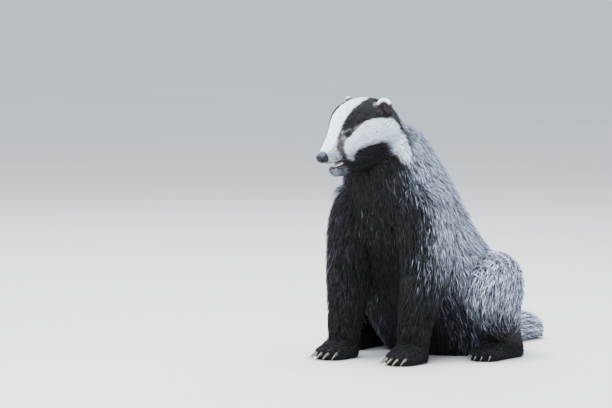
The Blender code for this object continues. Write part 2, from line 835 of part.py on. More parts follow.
def nose():
    """The bare pad at the tip of the muzzle, with its two nostrils."""

    def ring(place):
        behind, top, bottom, half = row_at(NOSE_ROWS, place)
        middle = (top + bottom) / 2
        return head_point(behind, 0, middle), HEAD_LEFT, HEAD_UP, half, middle - bottom, top - middle

    pad = clipped(
        sweep("nose", ring, len(NOSE_ROWS) - 1, 8, 18), head_point(NOSE_CUT - GAP, 0, 0), -HEAD_FORWARD
    )
    behind, left, above = NOSTRIL_PLACE
    for side in (1, -1):
        opening = unit(HEAD_FORWARD * 0.75 + HEAD_LEFT * side * 0.66)
        axes = (opening, np.cross(HEAD_UP, opening), HEAD_UP)
        hole = ball("nostril", head_point(behind, side * left, above), axes, NOSTRIL_SIZE, 10, 6)
        boolean(pad, hole, "DIFFERENCE")
        removed(hole)
    return largest(pad)


def cut_plane(front, back):
    """A point of the plane through two places that runs straight across the body, and its normal."""
    return front, unit(np.cross(back - front, BODY_LEFT))


def head_cut():
    return cut_plane(head_point(*HEAD_CUT[0]), head_point(*HEAD_CUT[1]))


def neck_cut():
    (ahead, low), (behind, high) = NECK_CUT
    return cut_plane(body_point(ahead, 0, low), body_point(behind, 0, high))


def head():
    """Skull, jaw and throat in one skin, with lids and lips, and room for nose, eyes, ears and tongue."""
    point, normal = head_cut()
    obj = joined("head", [torso(), skull(), jaw(), cheek(1), cheek(-1)])
    blended(obj, FINE_VOXEL, 4)
    clipped(obj, point + normal * 0.004, normal)
    thinned(obj, HEAD_TRIANGLES, face_weight)
    clipped(obj, point - normal * GAP / 2, normal)
    clipped(obj, head_point(NOSE_CUT, 0, 0), HEAD_FORWARD)
    fused(obj, [lids(1), lids(-1), *lips()])
    for side in (1, -1):
        for hull in (
            ear_hull("socket", side, GAP),
            ball("socket", eye_centre(side), eye_axes(side), [EYE_RADIUS + GAP] * 3, 14, 8),
        ):
            boolean(obj, hull, "DIFFERENCE", "MANIFOLD")
            removed(hull)
    room = tongue()
    swell(room, GAP)
    boolean(obj, room, "DIFFERENCE", "MANIFOLD")
    removed(room)
    return largest(obj)


def swell(obj, distance):
    normals = [v.normal.copy() for v in obj.data.vertices]
    for vertex, normal in zip(obj.data.vertices, normals):
        vertex.co += normal * distance


def face_weight(place):
    """How much detail a place on the head keeps, most at the muzzle and the eyes."""
    behind = (NOSE_TIP - place).dot(HEAD_FORWARD)
    return float(np.clip(1.15 - behind / 0.11, 0.12, 1.0))


def body():
    """The whole animal in one skin, standing flat on the floor."""
    pieces = [torso(), tail(), skull(), jaw(), cheek(1), cheek(-1)]
    for side in (1, -1):
        pieces += legs_above_paws(side)
        for rows, left in ((FOREPAW_ROWS, FOREPAW_LEFT), (HINDPAW_ROWS, HINDPAW_LEFT)):
            pieces.append(paw(rows, left, side))
            pieces += toes(rows, left, side)
    obj = joined("body", pieces)
    blended(obj, COARSE_VOXEL, 6)
    thinned(obj, BODY_TRIANGLES)
    fused(obj, coat_locks(), "MANIFOLD")
    return largest(clipped(obj, (0, 0, 0), -UP))


def legs(whole):
    """Takes the four legs out of the body and gives them their claws."""
    made = []
    for kind, (centre, halves), rows, left in (
        ("fore", FORELEG_BLOCK, FOREPAW_ROWS, FOREPAW_LEFT),
        ("hind", HINDLEG_BLOCK, HINDPAW_ROWS, HINDPAW_LEFT),
    ):
        for word, side in (("left", 1), ("right", -1)):
            middle = body_point(centre[0], side * centre[1], centre[2])
            leg = taken(whole, f"{kind}leg_{word}", middle, np.eye(3), halves)
            made.append(fused(leg, claws(kind, rows, left, side), "MANIFOLD"))
    return made


def face_parts():
    made = [nose(), tongue()]
    for word, side in (("left", 1), ("right", -1)):
        made.append(ear(side, f"ear_{word}"))
        made.append(ball(f"eye_{word}", eye_centre(side), eye_axes(side), [EYE_RADIUS] * 3, 14, 8))
    return made


def stand_on_origin(objects):
    """Moves everything so that the middle of the footprint is the origin."""
    points = np.array([v.co for obj in objects for v in obj.data.vertices])
    middle = (points.min(0) + points.max(0)) / 2
    for obj in objects:
        obj.data.transform(Matrix.Translation((-middle[0], -middle[1], 0)))


def main():
    clear_scene()
    animal = collection_named("european_badger")
    torso_node = body()
    torso_node.name = "torso"
    leg_nodes = legs(torso_node)
    tail_node = parted(torso_node, "tail", body_point(TAIL_CUT, 0, 0), body_point(-1, 0, 0))
    point, normal = head_cut()
    clipped(torso_node, point + normal * GAP / 2, -normal)
    point, normal = neck_cut()
    neck_node = parted(torso_node, "neck", point, -normal)
    nodes = [head(), neck_node, torso_node, tail_node, *leg_nodes, *face_parts()]
    stand_on_origin(nodes)
    coats = {name: material(name, tone, ROUGHNESS.get(name, 0.9)) for name, tone in COLOURS.items()}
    for obj in nodes:
        largest(obj)
        obj.data.name = obj.name
        obj.data.materials.clear()
        obj.data.materials.append(coats[NODE_COLOURS.get(obj.name, "coat_black")])
        for home in list(obj.users_collection):
            home.objects.unlink(obj)
        animal.objects.link(obj)


main()
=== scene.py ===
"""The looks of the sitting European badger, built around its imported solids.

Metres, +Z up. The body faces -X and its left side faces -Y. Places on the body are given as
(forward, left, up) and places on the head as (behind the nose tip, left, above the nose tip),
in the solids' own source frame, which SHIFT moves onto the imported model.
"""

import json
import math

import bpy
import numpy as np
from mathutils import Matrix, Vector
from mathutils.bvhtree import BVHTree
from mathutils.kdtree import KDTree

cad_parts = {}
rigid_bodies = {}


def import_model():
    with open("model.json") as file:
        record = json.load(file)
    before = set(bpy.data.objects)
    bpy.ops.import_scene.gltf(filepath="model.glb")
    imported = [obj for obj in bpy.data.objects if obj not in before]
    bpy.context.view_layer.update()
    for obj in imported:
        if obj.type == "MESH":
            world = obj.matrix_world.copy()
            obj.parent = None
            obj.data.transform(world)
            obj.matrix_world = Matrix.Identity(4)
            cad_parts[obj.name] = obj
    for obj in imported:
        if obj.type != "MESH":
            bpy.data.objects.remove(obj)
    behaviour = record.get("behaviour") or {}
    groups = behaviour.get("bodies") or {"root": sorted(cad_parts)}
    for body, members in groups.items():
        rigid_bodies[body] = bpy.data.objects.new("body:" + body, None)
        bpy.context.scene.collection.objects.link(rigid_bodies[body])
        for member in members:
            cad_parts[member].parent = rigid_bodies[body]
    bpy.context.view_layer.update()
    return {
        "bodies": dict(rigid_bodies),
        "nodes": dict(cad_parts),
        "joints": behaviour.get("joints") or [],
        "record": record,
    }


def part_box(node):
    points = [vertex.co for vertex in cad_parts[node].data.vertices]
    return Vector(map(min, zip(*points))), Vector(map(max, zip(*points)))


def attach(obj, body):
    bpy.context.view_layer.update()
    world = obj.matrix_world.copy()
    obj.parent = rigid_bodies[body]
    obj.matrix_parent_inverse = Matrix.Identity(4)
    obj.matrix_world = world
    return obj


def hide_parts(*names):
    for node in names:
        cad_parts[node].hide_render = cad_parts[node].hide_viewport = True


# Driving dimensions, the same as in the solids
SKULL_BASE = np.array([0.2252, 0.0, 0.3596])
SKULL_TO_NOSE = 0.132
HEAD_PITCH = math.radians(21)
HEAD_TURN = math.radians(12)
JAW_OPEN = math.radians(6)
JAW_HINGE = (0.095, -0.008)
EYE_PLACE = (0.0525, 0.0190, 0.0185)
EYE_LOOKS = (0.42, 0.80, 0.36)
EYE_RADIUS = 0.0056
LID_OPENING = (0.0048, 0.0031)
LIP_THICKNESS = 0.0011
MOUTH_CORNER = (0.0375, 0.0122, -0.0213)
NOSE_CUT = 0.0108
NOSTRIL_PLACE = (0.0032, 0.0050, -0.0044)
NOSTRIL_END = (0.0080, 0.0088, -0.0022)
EAR_PLACE = (0.1175, 0.0385, 0.0330)
EAR_SIZE = (0.0070, 0.0124, 0.0166)
TOE_SIZE = (0.0150, 0.0062, 0.0100)
TOE_HEIGHT = 0.0095
CLAW = {"fore": (0.023, 0.0034), "hind": (0.013, 0.0029)}  # length, thickness
CLAW_ROOT_HEIGHT = 0.0105
CLAW_TIP_HEIGHT = 0.0020

TINY = 1e-9  # keeps a division by nothing away

# How deep the skin lies under the coat's outline
TRUNK_DEPTH = 0.019
NAPE_DEPTH = 0.006
TRUNK_DEEPENS = (1.2, 4.6)  # rows between which the nape's depth grows to the trunk's
BELLY_SHARE = 0.6  # of the trunk's depth
TAIL_SHARE = 0.55  # of the tail's half width
FACE_DEPTH = 0.0007
CROWN_DEPTH = 0.0042
FACE_DEEPENS = (0.025, 0.095)  # behind the nose tip
JAW_SHARE = 0.8
LIMB_DEPTHS = {"fore": (0.009, 0.0035), "hind": (0.017, 0.0040)}  # at the body, at the foot
LIMB_DEEPENS = (0.5, 4.0)
FOOT_DEPTH = 0.0018
TOE_SHARE = 0.6
LEAST_SHARE = 0.3  # of a ring's half size, which no depth goes below

# Forms of the rings, feet, lids and ears
OVAL = 2.2  # 2 is an ellipse, more is squarer
SKULL_LEVEL = -0.15  # height of the widest line, from -1 at a ring's bottom to 1 at its top
JAW_LEVEL = 0.2
PAW_LEVEL = 0.3
SOLE_SINK = 0.004
TOE_BACK = 0.004
LID_WAY = (0.86, -0.5)  # along the lids: ahead, up
EAR_STANDS = (0.95, 0.18, -0.10)  # up, out, ahead
EAR_FACES = (0.78, 0.62)  # ahead, out
EAR_SHELL = 0.0008
EAR_CUP = (1.05, 0.16, 0.74)  # how far ahead and up it lies, and its size, in sizes of the ear
LIP_FRONT = {True: 0.0130, False: 0.0150}  # upper and lower, behind the nose tip
LIP_SHORT = 0.001  # how far before the corner of the mouth the jaw's line ends
LIP_SPREAD = 1.5  # draws the line's points together at the front
LIP_TURN = 38  # degrees that the line turns round its jaw
LIP_TURN_SHARE = 0.35  # of its length, over which it turns
LIP_CORNER_SHARE = 0.74  # of its length, from which it heads for the corner
LIP_THINS = 0.35

# Fineness
SKIN_VOXEL = 0.0014
SKIN_ROUNDS = 5
SKIN_FLOOR = 0.0004
FACE_DETAIL = (1.25, 0.14)  # at the nose tip, and over what distance behind it one is lost
LEAST_DETAIL = 0.1
FEET_DETAIL = 0.3
DETAIL_HEIGHT = 0.2  # above it lies the head
FEET_HEIGHTS = (0.02, 0.06)
TOE_SIDES = (20, 12)
UNWRAP_ANGLE = 60
UNWRAP_GAP = 0.002
LID_SIDES = 56
LIP_STEPS = 27
SKIN_TRIANGLES = 110000
TUFT_PATCH = 0.003
COAT_SEED = 11
PIECE_LIMIT = 190000

# The photograph's view
IMAGE = (612, 408)
SCALE = 670  # pixels for each metre at the head
VIEW_AZIMUTH = math.radians(-52)
VIEW_ELEVATION = math.radians(4)
VIEW_DISTANCE = 5.5
NOSE_PIXEL = (318, 158)
SENSOR = 36  # millimetres

# Colours of the coat, linear
WHITE = (0.845, 0.885, 0.90)
# Blue-grey: white fur in painted shade under the chin and along the cheeks' lower edges, and the pale grey of
# the muzzle and of patches at the eyes
SHADED_WHITE_AND_PALE_GREY = (0.38, 0.41, 0.51)
BLACK = (0.0085, 0.0085, 0.0105)
MUZZLE_BROWN = (0.125, 0.098, 0.105)
UNDERFUR = (0.205, 0.215, 0.270)
BAND = (0.032, 0.032, 0.042)
TIP = (0.53, 0.57, 0.70)
SKIN_DARK = (0.014, 0.012, 0.013)
BLEND = 0.65  # how far neighbouring markings mix within a tuft
# Painted bluish shade that white tufts take, as the share each channel loses
WHITE_SHADE = np.array([0.44, 0.31, 0.12])
# The tint of the painted sheen on black hair
BLACK_SHEEN = np.array([1.12, 1.0, 0.92])
MOUTH = (0.16, 0.045, 0.055)
# Painted bluish light on the top of the nose leather
NOSE_PAINTED_LIGHT = (0.022, 0.030, 0.055)
# The grey of the painted highlight on the lids' fold
LID_HIGHLIGHT = (0.12, 0.125, 0.14)


def body_point(forward, left, up):
    return np.array([-forward, -left, up])


def unit(vector):
    return np.array(vector) / np.linalg.norm(vector)


def units(vectors):
    """Each row of an array made one long."""
    return vectors / np.maximum(np.linalg.norm(vectors, axis=1), TINY)[:, None]


def stepped(pair, t):
    """The start that a pair gives, and its step times t."""
    return pair[0] + pair[1] * t


def flattened(ways, normals):
    """Each way laid along its surface, one long."""
    return units(ways - normals * np.sum(ways * normals, 1)[:, None])


def columns(rows, value, *wanted):
    """The wanted columns of a table where its first has a value, on straight lines between the rows."""
    table = np.array(rows)
    return [np.interp(value, table[:, 0], table[:, k]) for k in wanted]


def head_axes():
    forward = body_point(
        math.cos(HEAD_TURN) * math.cos(HEAD_PITCH),
        -math.sin(HEAD_TURN) * math.cos(HEAD_PITCH),
        -math.sin(HEAD_PITCH),
    )
    left = body_point(math.sin(HEAD_TURN), math.cos(HEAD_TURN), 0.0)
    return forward, left, np.cross(forward, left)


UP = np.array([0.0, 0.0, 1.0])
BODY_LEFT = body_point(0, 1, 0)
HEAD_FORWARD, HEAD_LEFT, HEAD_UP = head_axes()
NOSE_TIP = body_point(*SKULL_BASE) + HEAD_FORWARD * SKULL_TO_NOSE


def head_point(behind, left, above):
    return NOSE_TIP - HEAD_FORWARD * behind + HEAD_LEFT * left + HEAD_UP * above


# Each row: behind the nose tip, top, bottom (both above the nose tip), half width
SKULL_ROWS = (
    (0.006, 0.002, -0.008, 0.0060),
    (0.010, 0.0050, -0.0118, 0.0090),
    (0.014, 0.0074, -0.0150, 0.0120),
    (0.024, 0.0128, -0.018, 0.0165),
    (0.034, 0.0202, -0.019, 0.0194),
    (0.044, 0.0302, -0.022, 0.0235),
    (0.056, 0.0433, -0.028, 0.0310),
    (0.070, 0.0530, -0.032, 0.0400),
    (0.084, 0.0562, -0.035, 0.0472),
    (0.100, 0.0553, -0.038, 0.0508),
    (0.118, 0.0500, -0.041, 0.0500),
    (0.135, 0.0400, -0.044, 0.0415),
    (0.148, 0.0250, -0.044, 0.0310),
    (0.158, 0.0080, -0.034, 0.0200),
)
JAW_ROWS = (
    (0.0145, -0.0190, -0.0270, 0.0045),
    (0.0170, -0.0165, -0.0305, 0.0078),
    (0.0210, -0.0158, -0.0328, 0.0098),
    (0.0260, -0.0178, -0.0348, 0.0113),
    (0.0310, -0.0196, -0.0365, 0.0125),
    (0.0370, -0.0208, -0.0385, 0.0142),
    (0.0500, -0.0200, -0.0420, 0.0185),
    (0.066, -0.018, -0.046, 0.0260),
    (0.082, -0.014, -0.050, 0.0335),
    (0.100, -0.008, -0.052, 0.0400),
    (0.112, 0.000, -0.046, 0.0360),
)
NOSE_ROWS = (
    (0.0000, 0.0004, -0.0050, 0.0038),
    (0.0010, 0.0021, -0.0077, 0.0064),
    (0.0035, 0.0038, -0.0100, 0.0084),
    (0.0070, 0.0050, -0.0110, 0.0093),
    (0.0110, 0.0057, -0.0115, 0.0098),
    (0.0150, 0.0051, -0.0109, 0.0090),
)
# What fills the fold between the jaws behind the corner of the mouth:
# behind, left, above, half width, half height
CHEEK_ROWS = (
    (0.0370, 0.0088, -0.0214, 0.0034, 0.0045),
    (0.0400, 0.0100, -0.0216, 0.0050, 0.0062),
    (0.0450, 0.0115, -0.0218, 0.0066, 0.0075),
    (0.0550, 0.0150, -0.0222, 0.0088, 0.0085),
    (0.0700, 0.0200, -0.0215, 0.0118, 0.0090),
    (0.0900, 0.0240, -0.0200, 0.0130, 0.0090),
)
# Each row: forward, up, depth behind the line, depth before it, half width
TORSO_ROWS = (
    (0.228, 0.376, 0.010, 0.030, 0.026),
    (0.222, 0.356, 0.026, 0.040, 0.038),
    (0.215, 0.332, 0.055, 0.050, 0.058),
    (0.205, 0.300, 0.067, 0.060, 0.075),
    (0.190, 0.262, 0.076, 0.069, 0.089),
    (0.169, 0.222, 0.081, 0.074, 0.098),
    (0.141, 0.175, 0.085, 0.078, 0.106),
    (0.109, 0.125, 0.093, 0.083, 0.123),
    (0.080, 0.080, 0.108, 0.084, 0.126),
    (0.064, 0.045, 0.098, 0.082, 0.118),
    (0.058, 0.010, 0.080, 0.070, 0.098),
    (0.057, -0.015, 0.060, 0.052, 0.076),
)
# Each row: forward, left, up, half width across, half depth fore and aft
FORELEG_ROWS = (
    (0.196, 0.050, 0.250, 0.038, 0.046),
    (0.200, 0.062, 0.210, 0.041, 0.048),
    (0.203, 0.070, 0.160, 0.036, 0.043),
    (0.212, 0.070, 0.110, 0.0300, 0.034),
    (0.222, 0.067, 0.070, 0.0260, 0.028),
    (0.228, 0.066, 0.040, 0.0240, 0.0245),
    (0.230, 0.066, 0.018, 0.0215, 0.0210),
)
HINDLEG_ROWS = (
    (0.036, 0.072, 0.092, 0.046, 0.052),
    (0.060, 0.096, 0.103, 0.048, 0.058),
    (0.090, 0.116, 0.105, 0.041, 0.053),
    (0.114, 0.127, 0.090, 0.031, 0.043),
    (0.106, 0.130, 0.064, 0.026, 0.035),
    (0.080, 0.129, 0.040, 0.022, 0.029),
    (0.064, 0.128, 0.022, 0.019, 0.021),
)
# Each row: forward, top, half width; the sole is at the floor
FOREPAW_ROWS = (
    (0.211, 0.020, 0.0140),
    (0.221, 0.034, 0.0210),
    (0.240, 0.035, 0.0245),
    (0.257, 0.028, 0.0255),
    (0.268, 0.020, 0.0235),
    (0.275, 0.012, 0.0165),
)
FOREPAW_LEFT = 0.066
HINDPAW_ROWS = (
    (0.046, 0.018, 0.0115),
    (0.058, 0.034, 0.0180),
    (0.090, 0.034, 0.0200),
    (0.120, 0.027, 0.0225),
    (0.138, 0.019, 0.0220),
    (0.147, 0.011, 0.0160),
)
HINDPAW_LEFT = 0.130
PAWS = (("fore", FOREPAW_ROWS, FOREPAW_LEFT), ("hind", HINDPAW_ROWS, HINDPAW_LEFT))
# Each row: forward, up, half width, half height
TAIL_ROWS = (
    (-0.005, 0.058, 0.030, 0.032),
    (-0.035, 0.043, 0.031, 0.032),
    (-0.068, 0.032, 0.031, 0.031),
    (-0.105, 0.0265, 0.030, 0.028),
    (-0.145, 0.023, 0.026, 0.0245),
    (-0.178, 0.017, 0.016, 0.0165),
    (-0.194, 0.012, 0.005, 0.006),
)
# Each toe: offset to the left of the paw's middle, how far its tip trails the longest one
TOE_PLACES = ((-0.0185, 0.013), (-0.0095, 0.003), (0.0, 0.0), (0.0095, 0.002), (0.0180, 0.010))


def smooth(value, low, high):
    """0 below low, 1 above high, and an even bend between."""
    t = np.clip((np.asarray(value, float) - low) / (high - low), 0, 1)
    return t * t * (3 - 2 * t)


def read(items, field, width, kind=float):
    """A field of all the items, as the rows of an array."""
    values = np.empty(len(items) * width, kind)
    items.foreach_get(field, values)
    return values.reshape(-1, width)


def linked(name, data):
    """A new object with the data, in the scene."""
    obj = bpy.data.objects.new(name, data)
    bpy.context.scene.collection.objects.link(obj)
    return obj


def mesh_object(name, points, faces):
    mesh = bpy.data.meshes.new(name)
    mesh.from_pydata([tuple(p) for p in points], [], faces)
    mesh.shade_smooth()
    return linked(name, mesh)


def row_at(rows, place):
    """The row at a place between the given ones, on a smooth curve through them."""
    rows = np.array(rows, float)
    ends = np.vstack([2 * rows[0] - rows[1], rows, 2 * rows[-1] - rows[-2]])
    i = int(np.clip(place, 0, len(rows) - 2))
    t = place - i
    a, b, c, d = ends[i : i + 4]
    curve = 2 * b + (c - a) * t + (2 * a - 5 * b + 4 * c - d) * t**2 + (3 * b - a - 3 * c + d) * t**3
    return 0.5 * curve


def bands(count, sides, loop=False):
    """The faces between neighbouring rings; in a loop the last ring meets the first."""
    faces = []
    for k in range(count if loop else count - 1):
        a, b = k * sides, (k + 1) % count * sides
        faces += [(a + n, a + (n + 1) % sides, b + (n + 1) % sides, b + n) for n in range(sides)]
    return faces


def loft(name, rings):
    """One closed body through the rings, each of the same number of points."""
    count, sides = len(rings), len(rings[0])
    points = np.concatenate([*rings, [np.mean(rings[0], 0)], [np.mean(rings[-1], 0)]])
    faces = bands(count, sides)
    first, last, final = count * sides, count * sides + 1, (count - 1) * sides
    for k in range(sides):
        after = (k + 1) % sides
        faces += [(first, after, k), (last, final + k, final + after)]
    return turned_out(mesh_object(name, points, faces))


def turned_out(obj):
    """The same closed body with its faces facing out."""
    mesh = obj.data
    middle = np.array([v.co for v in mesh.vertices]).mean(0)
    if sum(np.dot(np.array(p.center) - middle, np.array(p.normal)) * p.area for p in mesh.polygons) < 0:
        mesh.flip_normals()
    return obj


def on_ring(ring, angle, power=OVAL):
    """A point of an oval ring, which is (middle, across, along, half width, reach back, reach ahead)."""
    middle, across, along, half, low, high = ring
    c, s = math.cos(angle), math.sin(angle)
    x = math.copysign(abs(c) ** (2 / power), c) * half
    y = math.copysign(abs(s) ** (2 / power), s) * (high if s > 0 else low)
    return middle + across * x + along * y


def ring_points(ring, sides=40, power=OVAL):
    return np.array([on_ring(ring, k * 2 * math.pi / sides, power) for k in range(sides)])


def heading(line_at, place):
    return unit(line_at(place + 0.01) - line_at(place - 0.01))


def less(ring, depth, before=1.0):
    """The ring drawn in by the coat's depth; before is the share of it at the ring's low side."""
    middle, across, along, *sizes = ring
    return middle, across, along, *(
        max(LEAST_SHARE * size, size - taken) for size, taken in zip(sizes, (depth, before * depth, depth))
    )


def grown(sizes, place, ends):
    """From the first size to the second between the two ends."""
    return sizes[0] + (sizes[1] - sizes[0]) * float(smooth(place, *ends))


def face_depth(behind):
    """The depth of the coat on the head, next to nothing at the muzzle."""
    return grown((FACE_DEPTH, CROWN_DEPTH), behind, FACE_DEEPENS)


def widest(top, bottom, level):
    """The height of a ring's widest line."""
    return (top + bottom) / 2 + level * (top - bottom) / 2


def head_ring(behind, top, bottom, half, level=0.0):
    middle = widest(top, bottom, level)
    return head_point(behind, 0, middle), HEAD_LEFT, HEAD_UP, half, middle - bottom, top - middle


def skull_ring(place):
    row = row_at(SKULL_ROWS, place)
    return less(head_ring(*row, SKULL_LEVEL), face_depth(row[0]))


def opened(behind, above):
    """A place on the jaw after it has turned open about its hinge."""
    ds, dz = behind - JAW_HINGE[0], above - JAW_HINGE[1]
    c, s = math.cos(JAW_OPEN), math.sin(JAW_OPEN)
    return JAW_HINGE[0] + ds * c - dz * s, JAW_HINGE[1] + ds * s + dz * c


def jaw_ring(place):
    behind, top, bottom, half = row_at(JAW_ROWS, place)
    middle = widest(top, bottom, JAW_LEVEL)
    turned = opened(behind, middle)
    up = HEAD_UP * math.cos(JAW_OPEN) + HEAD_FORWARD * math.sin(JAW_OPEN)
    ring = head_point(turned[0], 0, turned[1]), HEAD_LEFT, up, half, middle - bottom, top - middle
    return less(ring, JAW_SHARE * face_depth(behind))


def cheek_ring(side):
    def ring(place):
        behind, left, above, half, high = row_at(CHEEK_ROWS, place)
        return head_point(behind, side * left, above), HEAD_LEFT, HEAD_UP, half, high, high

    return ring


def torso_line(place):
    forward, up = row_at(TORSO_ROWS, place)[:2]
    return body_point(forward, 0, up)


def trunk_depth(place):
    return grown((NAPE_DEPTH, TRUNK_DEPTH), place, TRUNK_DEEPENS)


def torso_ring(place):
    _, _, behind, before, half = row_at(TORSO_ROWS, place)
    back = np.cross(BODY_LEFT, heading(torso_line, place))
    return less((torso_line(place), BODY_LEFT, back, half, before, behind), trunk_depth(place), BELLY_SHARE)


def tail_line(place):
    forward, up = row_at(TAIL_ROWS, place)[:2]
    return body_point(forward, 0, up)


def tail_ring(place):
    _, _, half, high = row_at(TAIL_ROWS, place)
    up = np.cross(BODY_LEFT, heading(tail_line, place))
    return less((tail_line(place), BODY_LEFT, up, half, high, high), TAIL_SHARE * half)


def limb_ring(rows, side, depths):
    def line(place):
        forward, left, up = row_at(rows, place)[:3]
        return body_point(forward, side * left, up)

    def ring(place):
        across, fore = row_at(rows, place)[3:]
        way = heading(line, place)
        front = unit(np.cross(way, BODY_LEFT))
        depth = grown(depths, place, LIMB_DEEPENS)
        return less((line(place), np.cross(front, way), front, across, fore, fore), depth)

    return ring


def paw_ring(rows, left, side):
    def ring(place):
        forward, top, half = row_at(rows, place)
        low = PAW_LEVEL * top
        middle = body_point(forward, side * left, low)
        return middle, BODY_LEFT, UP, half - FOOT_DEPTH, low + SOLE_SINK, top - low - FOOT_DEPTH

    return ring


def toe_points(rows, left, side):
    """The middles of the round ends of a paw's five toes."""
    front = rows[-1][0] - TOE_BACK
    return [body_point(front - trail, side * (left + offset), TOE_HEIGHT) for offset, trail in TOE_PLACES]


def eye_axes(side):
    """Out of the eye, along the lids, and across them."""
    ahead, left, up = EYE_LOOKS
    out = unit(HEAD_FORWARD * ahead + HEAD_LEFT * left * side + HEAD_UP * up)
    along = HEAD_FORWARD * LID_WAY[0] + HEAD_UP * LID_WAY[1]
    along = unit(along - out * along.dot(out))
    return out, along, np.cross(out, along) * side


def on_side(place, side):
    """A place of the left side of the head, on either side."""
    behind, left, above = place
    return head_point(behind, side * left, above)


def eye_centre(side):
    return on_side(EYE_PLACE, side)


def ear_axes(side):
    """The way the ear faces, its width, and the way it stands."""
    above, left, ahead = EAR_STANDS
    up = unit(HEAD_UP * above + HEAD_LEFT * side * left + HEAD_FORWARD * ahead)
    facing = HEAD_FORWARD * EAR_FACES[0] + HEAD_LEFT * side * EAR_FACES[1]
    facing = unit(facing - up * facing.dot(up))
    return facing, np.cross(up, facing), up


def ear_centre(side):
    return on_side(EAR_PLACE, side)


def shaped(obj, name, centre, axes, halves):
    """The unit primitive at its place, with its half sizes along the three axes."""
    obj.name = name
    frame = Matrix([[*axes[k]] for k in range(3)]).transposed()
    obj.data.transform(Matrix.Translation(Vector(centre)) @ frame.to_4x4() @ Matrix.Diagonal((*halves, 1)))
    if frame.determinant() < 0:
        obj.data.flip_normals()
    obj.data.shade_smooth()
    return obj


def ball(name, centre, axes, radii, segments=32, rings=20):
    bpy.ops.mesh.primitive_uv_sphere_add(segments=segments, ring_count=rings, radius=1)
    return shaped(bpy.context.object, name, centre, axes, radii)


def removed(*objects):
    """Takes the objects out of the file."""
    for obj in objects:
        bpy.data.objects.remove(obj, do_unlink=True)


def applied(obj):
    """The object with what its modifiers do made part of its mesh."""
    graph = bpy.context.evaluated_depsgraph_get()
    mesh = bpy.data.meshes.new_from_object(obj.evaluated_get(graph))
    obj.modifiers.clear()
    obj.data = mesh
    return obj


def boolean(obj, other):
    """Cuts the other body out of the object."""
    change = obj.modifiers.new("change", "BOOLEAN")
    change.object = other
    change.operation = "DIFFERENCE"
    change.solver = "EXACT"
    bpy.context.view_layer.update()
    applied(obj)
    removed(other)
    return obj


def joined(name, objects):
    """The objects' meshes in one object."""
    with bpy.context.temp_override(active_object=objects[0], selected_editable_objects=objects):
        bpy.ops.object.join()
    objects[0].name = name
    return objects[0]


def remeshed(obj, voxel, rounds):
    """The pieces made one skin, with the joins smoothed."""
    remesh = obj.modifiers.new("remesh", "REMESH")
    remesh.mode = "VOXEL"
    remesh.voxel_size = voxel
    soften = obj.modifiers.new("soften", "SMOOTH")
    soften.factor = 0.5
    soften.iterations = rounds
    return applied(obj)


def positions(mesh):
    return read(mesh.vertices, "co", 3)


def swept(name, ring_at, last, count, sides=40):
    return loft(name, [ring_points(ring_at(place), sides) for place in np.linspace(0, last, count)])


def ear_shell(side):
    """A short round ear with its cup open to the front."""
    facing, _, up = ear_axes(side)
    deep, wide, high = EAR_SIZE
    ahead, rise, share = EAR_CUP
    obj = ball("ear", ear_centre(side), ear_axes(side), [size - EAR_SHELL for size in EAR_SIZE])
    centre = ear_centre(side) + facing * deep * ahead + up * high * rise
    cup = ball("cup", centre, ear_axes(side), (deep * ahead, wide * share, high * share))
    return boolean(obj, cup)


def skin_parts():
    """Each part of the skin: name, ring at a place, last place, rings, side."""
    parts = [
        ("skull", skull_ring, len(SKULL_ROWS) - 1, 48, 0),
        ("jaw", jaw_ring, len(JAW_ROWS) - 1, 32, 0),
        ("trunk", torso_ring, len(TORSO_ROWS) - 1, 48, 0),
        ("tail", tail_ring, len(TAIL_ROWS) - 1.4, 36, 0),
    ]
    for side in (1, -1):
        for word, rows in (("fore", FORELEG_ROWS), ("hind", HINDLEG_ROWS)):
            ring = limb_ring(rows, side, LIMB_DEPTHS[word])
            parts.append((word + "leg", ring, len(rows) - 1, 36, side))
        for word, rows, left in PAWS:
            parts.append((word + "paw", paw_ring(rows, left, side), len(rows) - 1, 20, side))
    return parts


def detail_of(place):
    """How much detail a place of the skin keeps."""
    behind = (NOSE_TIP - place).dot(HEAD_FORWARD)
    if place[2] > DETAIL_HEIGHT:
        return float(np.clip(FACE_DETAIL[0] - behind / FACE_DETAIL[1], LEAST_DETAIL, 1.0))
    return float(LEAST_DETAIL + FEET_DETAIL * (1 - smooth(place[2], *FEET_HEIGHTS)))


def skin_mesh(parts):
    """The whole skin as one closed surface, finest at the face."""
    pieces = [swept(name, ring, last, count) for name, ring, last, count, _ in parts]
    for side in (1, -1):
        pieces += [ear_shell(side), swept("cheek", cheek_ring(side), len(CHEEK_ROWS) - 1, 20)]
        for _, rows, left in PAWS:
            axes = (body_point(1, 0, 0), BODY_LEFT, UP)
            radii = [size - TOE_SHARE * FOOT_DEPTH for size in TOE_SIZE]
            toes = toe_points(rows, left, side)
            pieces += [ball("toe", centre, axes, radii, *TOE_SIDES) for centre in toes]
    skin = remeshed(joined("skin", pieces), SKIN_VOXEL, SKIN_ROUNDS)
    co = positions(skin.data)
    group = skin.vertex_groups.new(name="detail")
    weights = np.round([detail_of(place) for place in co], 2)
    for weight in np.unique(weights):
        group.add(np.flatnonzero(weights == weight).tolist(), float(weight), "REPLACE")
    thin = skin.modifiers.new("thin", "DECIMATE")
    thin.ratio = SKIN_TRIANGLES / (2 * len(skin.data.polygons))
    thin.use_collapse_triangulate = True
    thin.vertex_group = "detail"
    thin.invert_vertex_group = True
    thin.vertex_group_factor = 1.0
    applied(skin)
    skin.vertex_groups.clear()
    co = positions(skin.data)
    co[:, 2] = np.maximum(co[:, 2], SKIN_FLOOR)
    skin.data.vertices.foreach_set("co", co.ravel())
    skin.data.shade_smooth()
    return skin


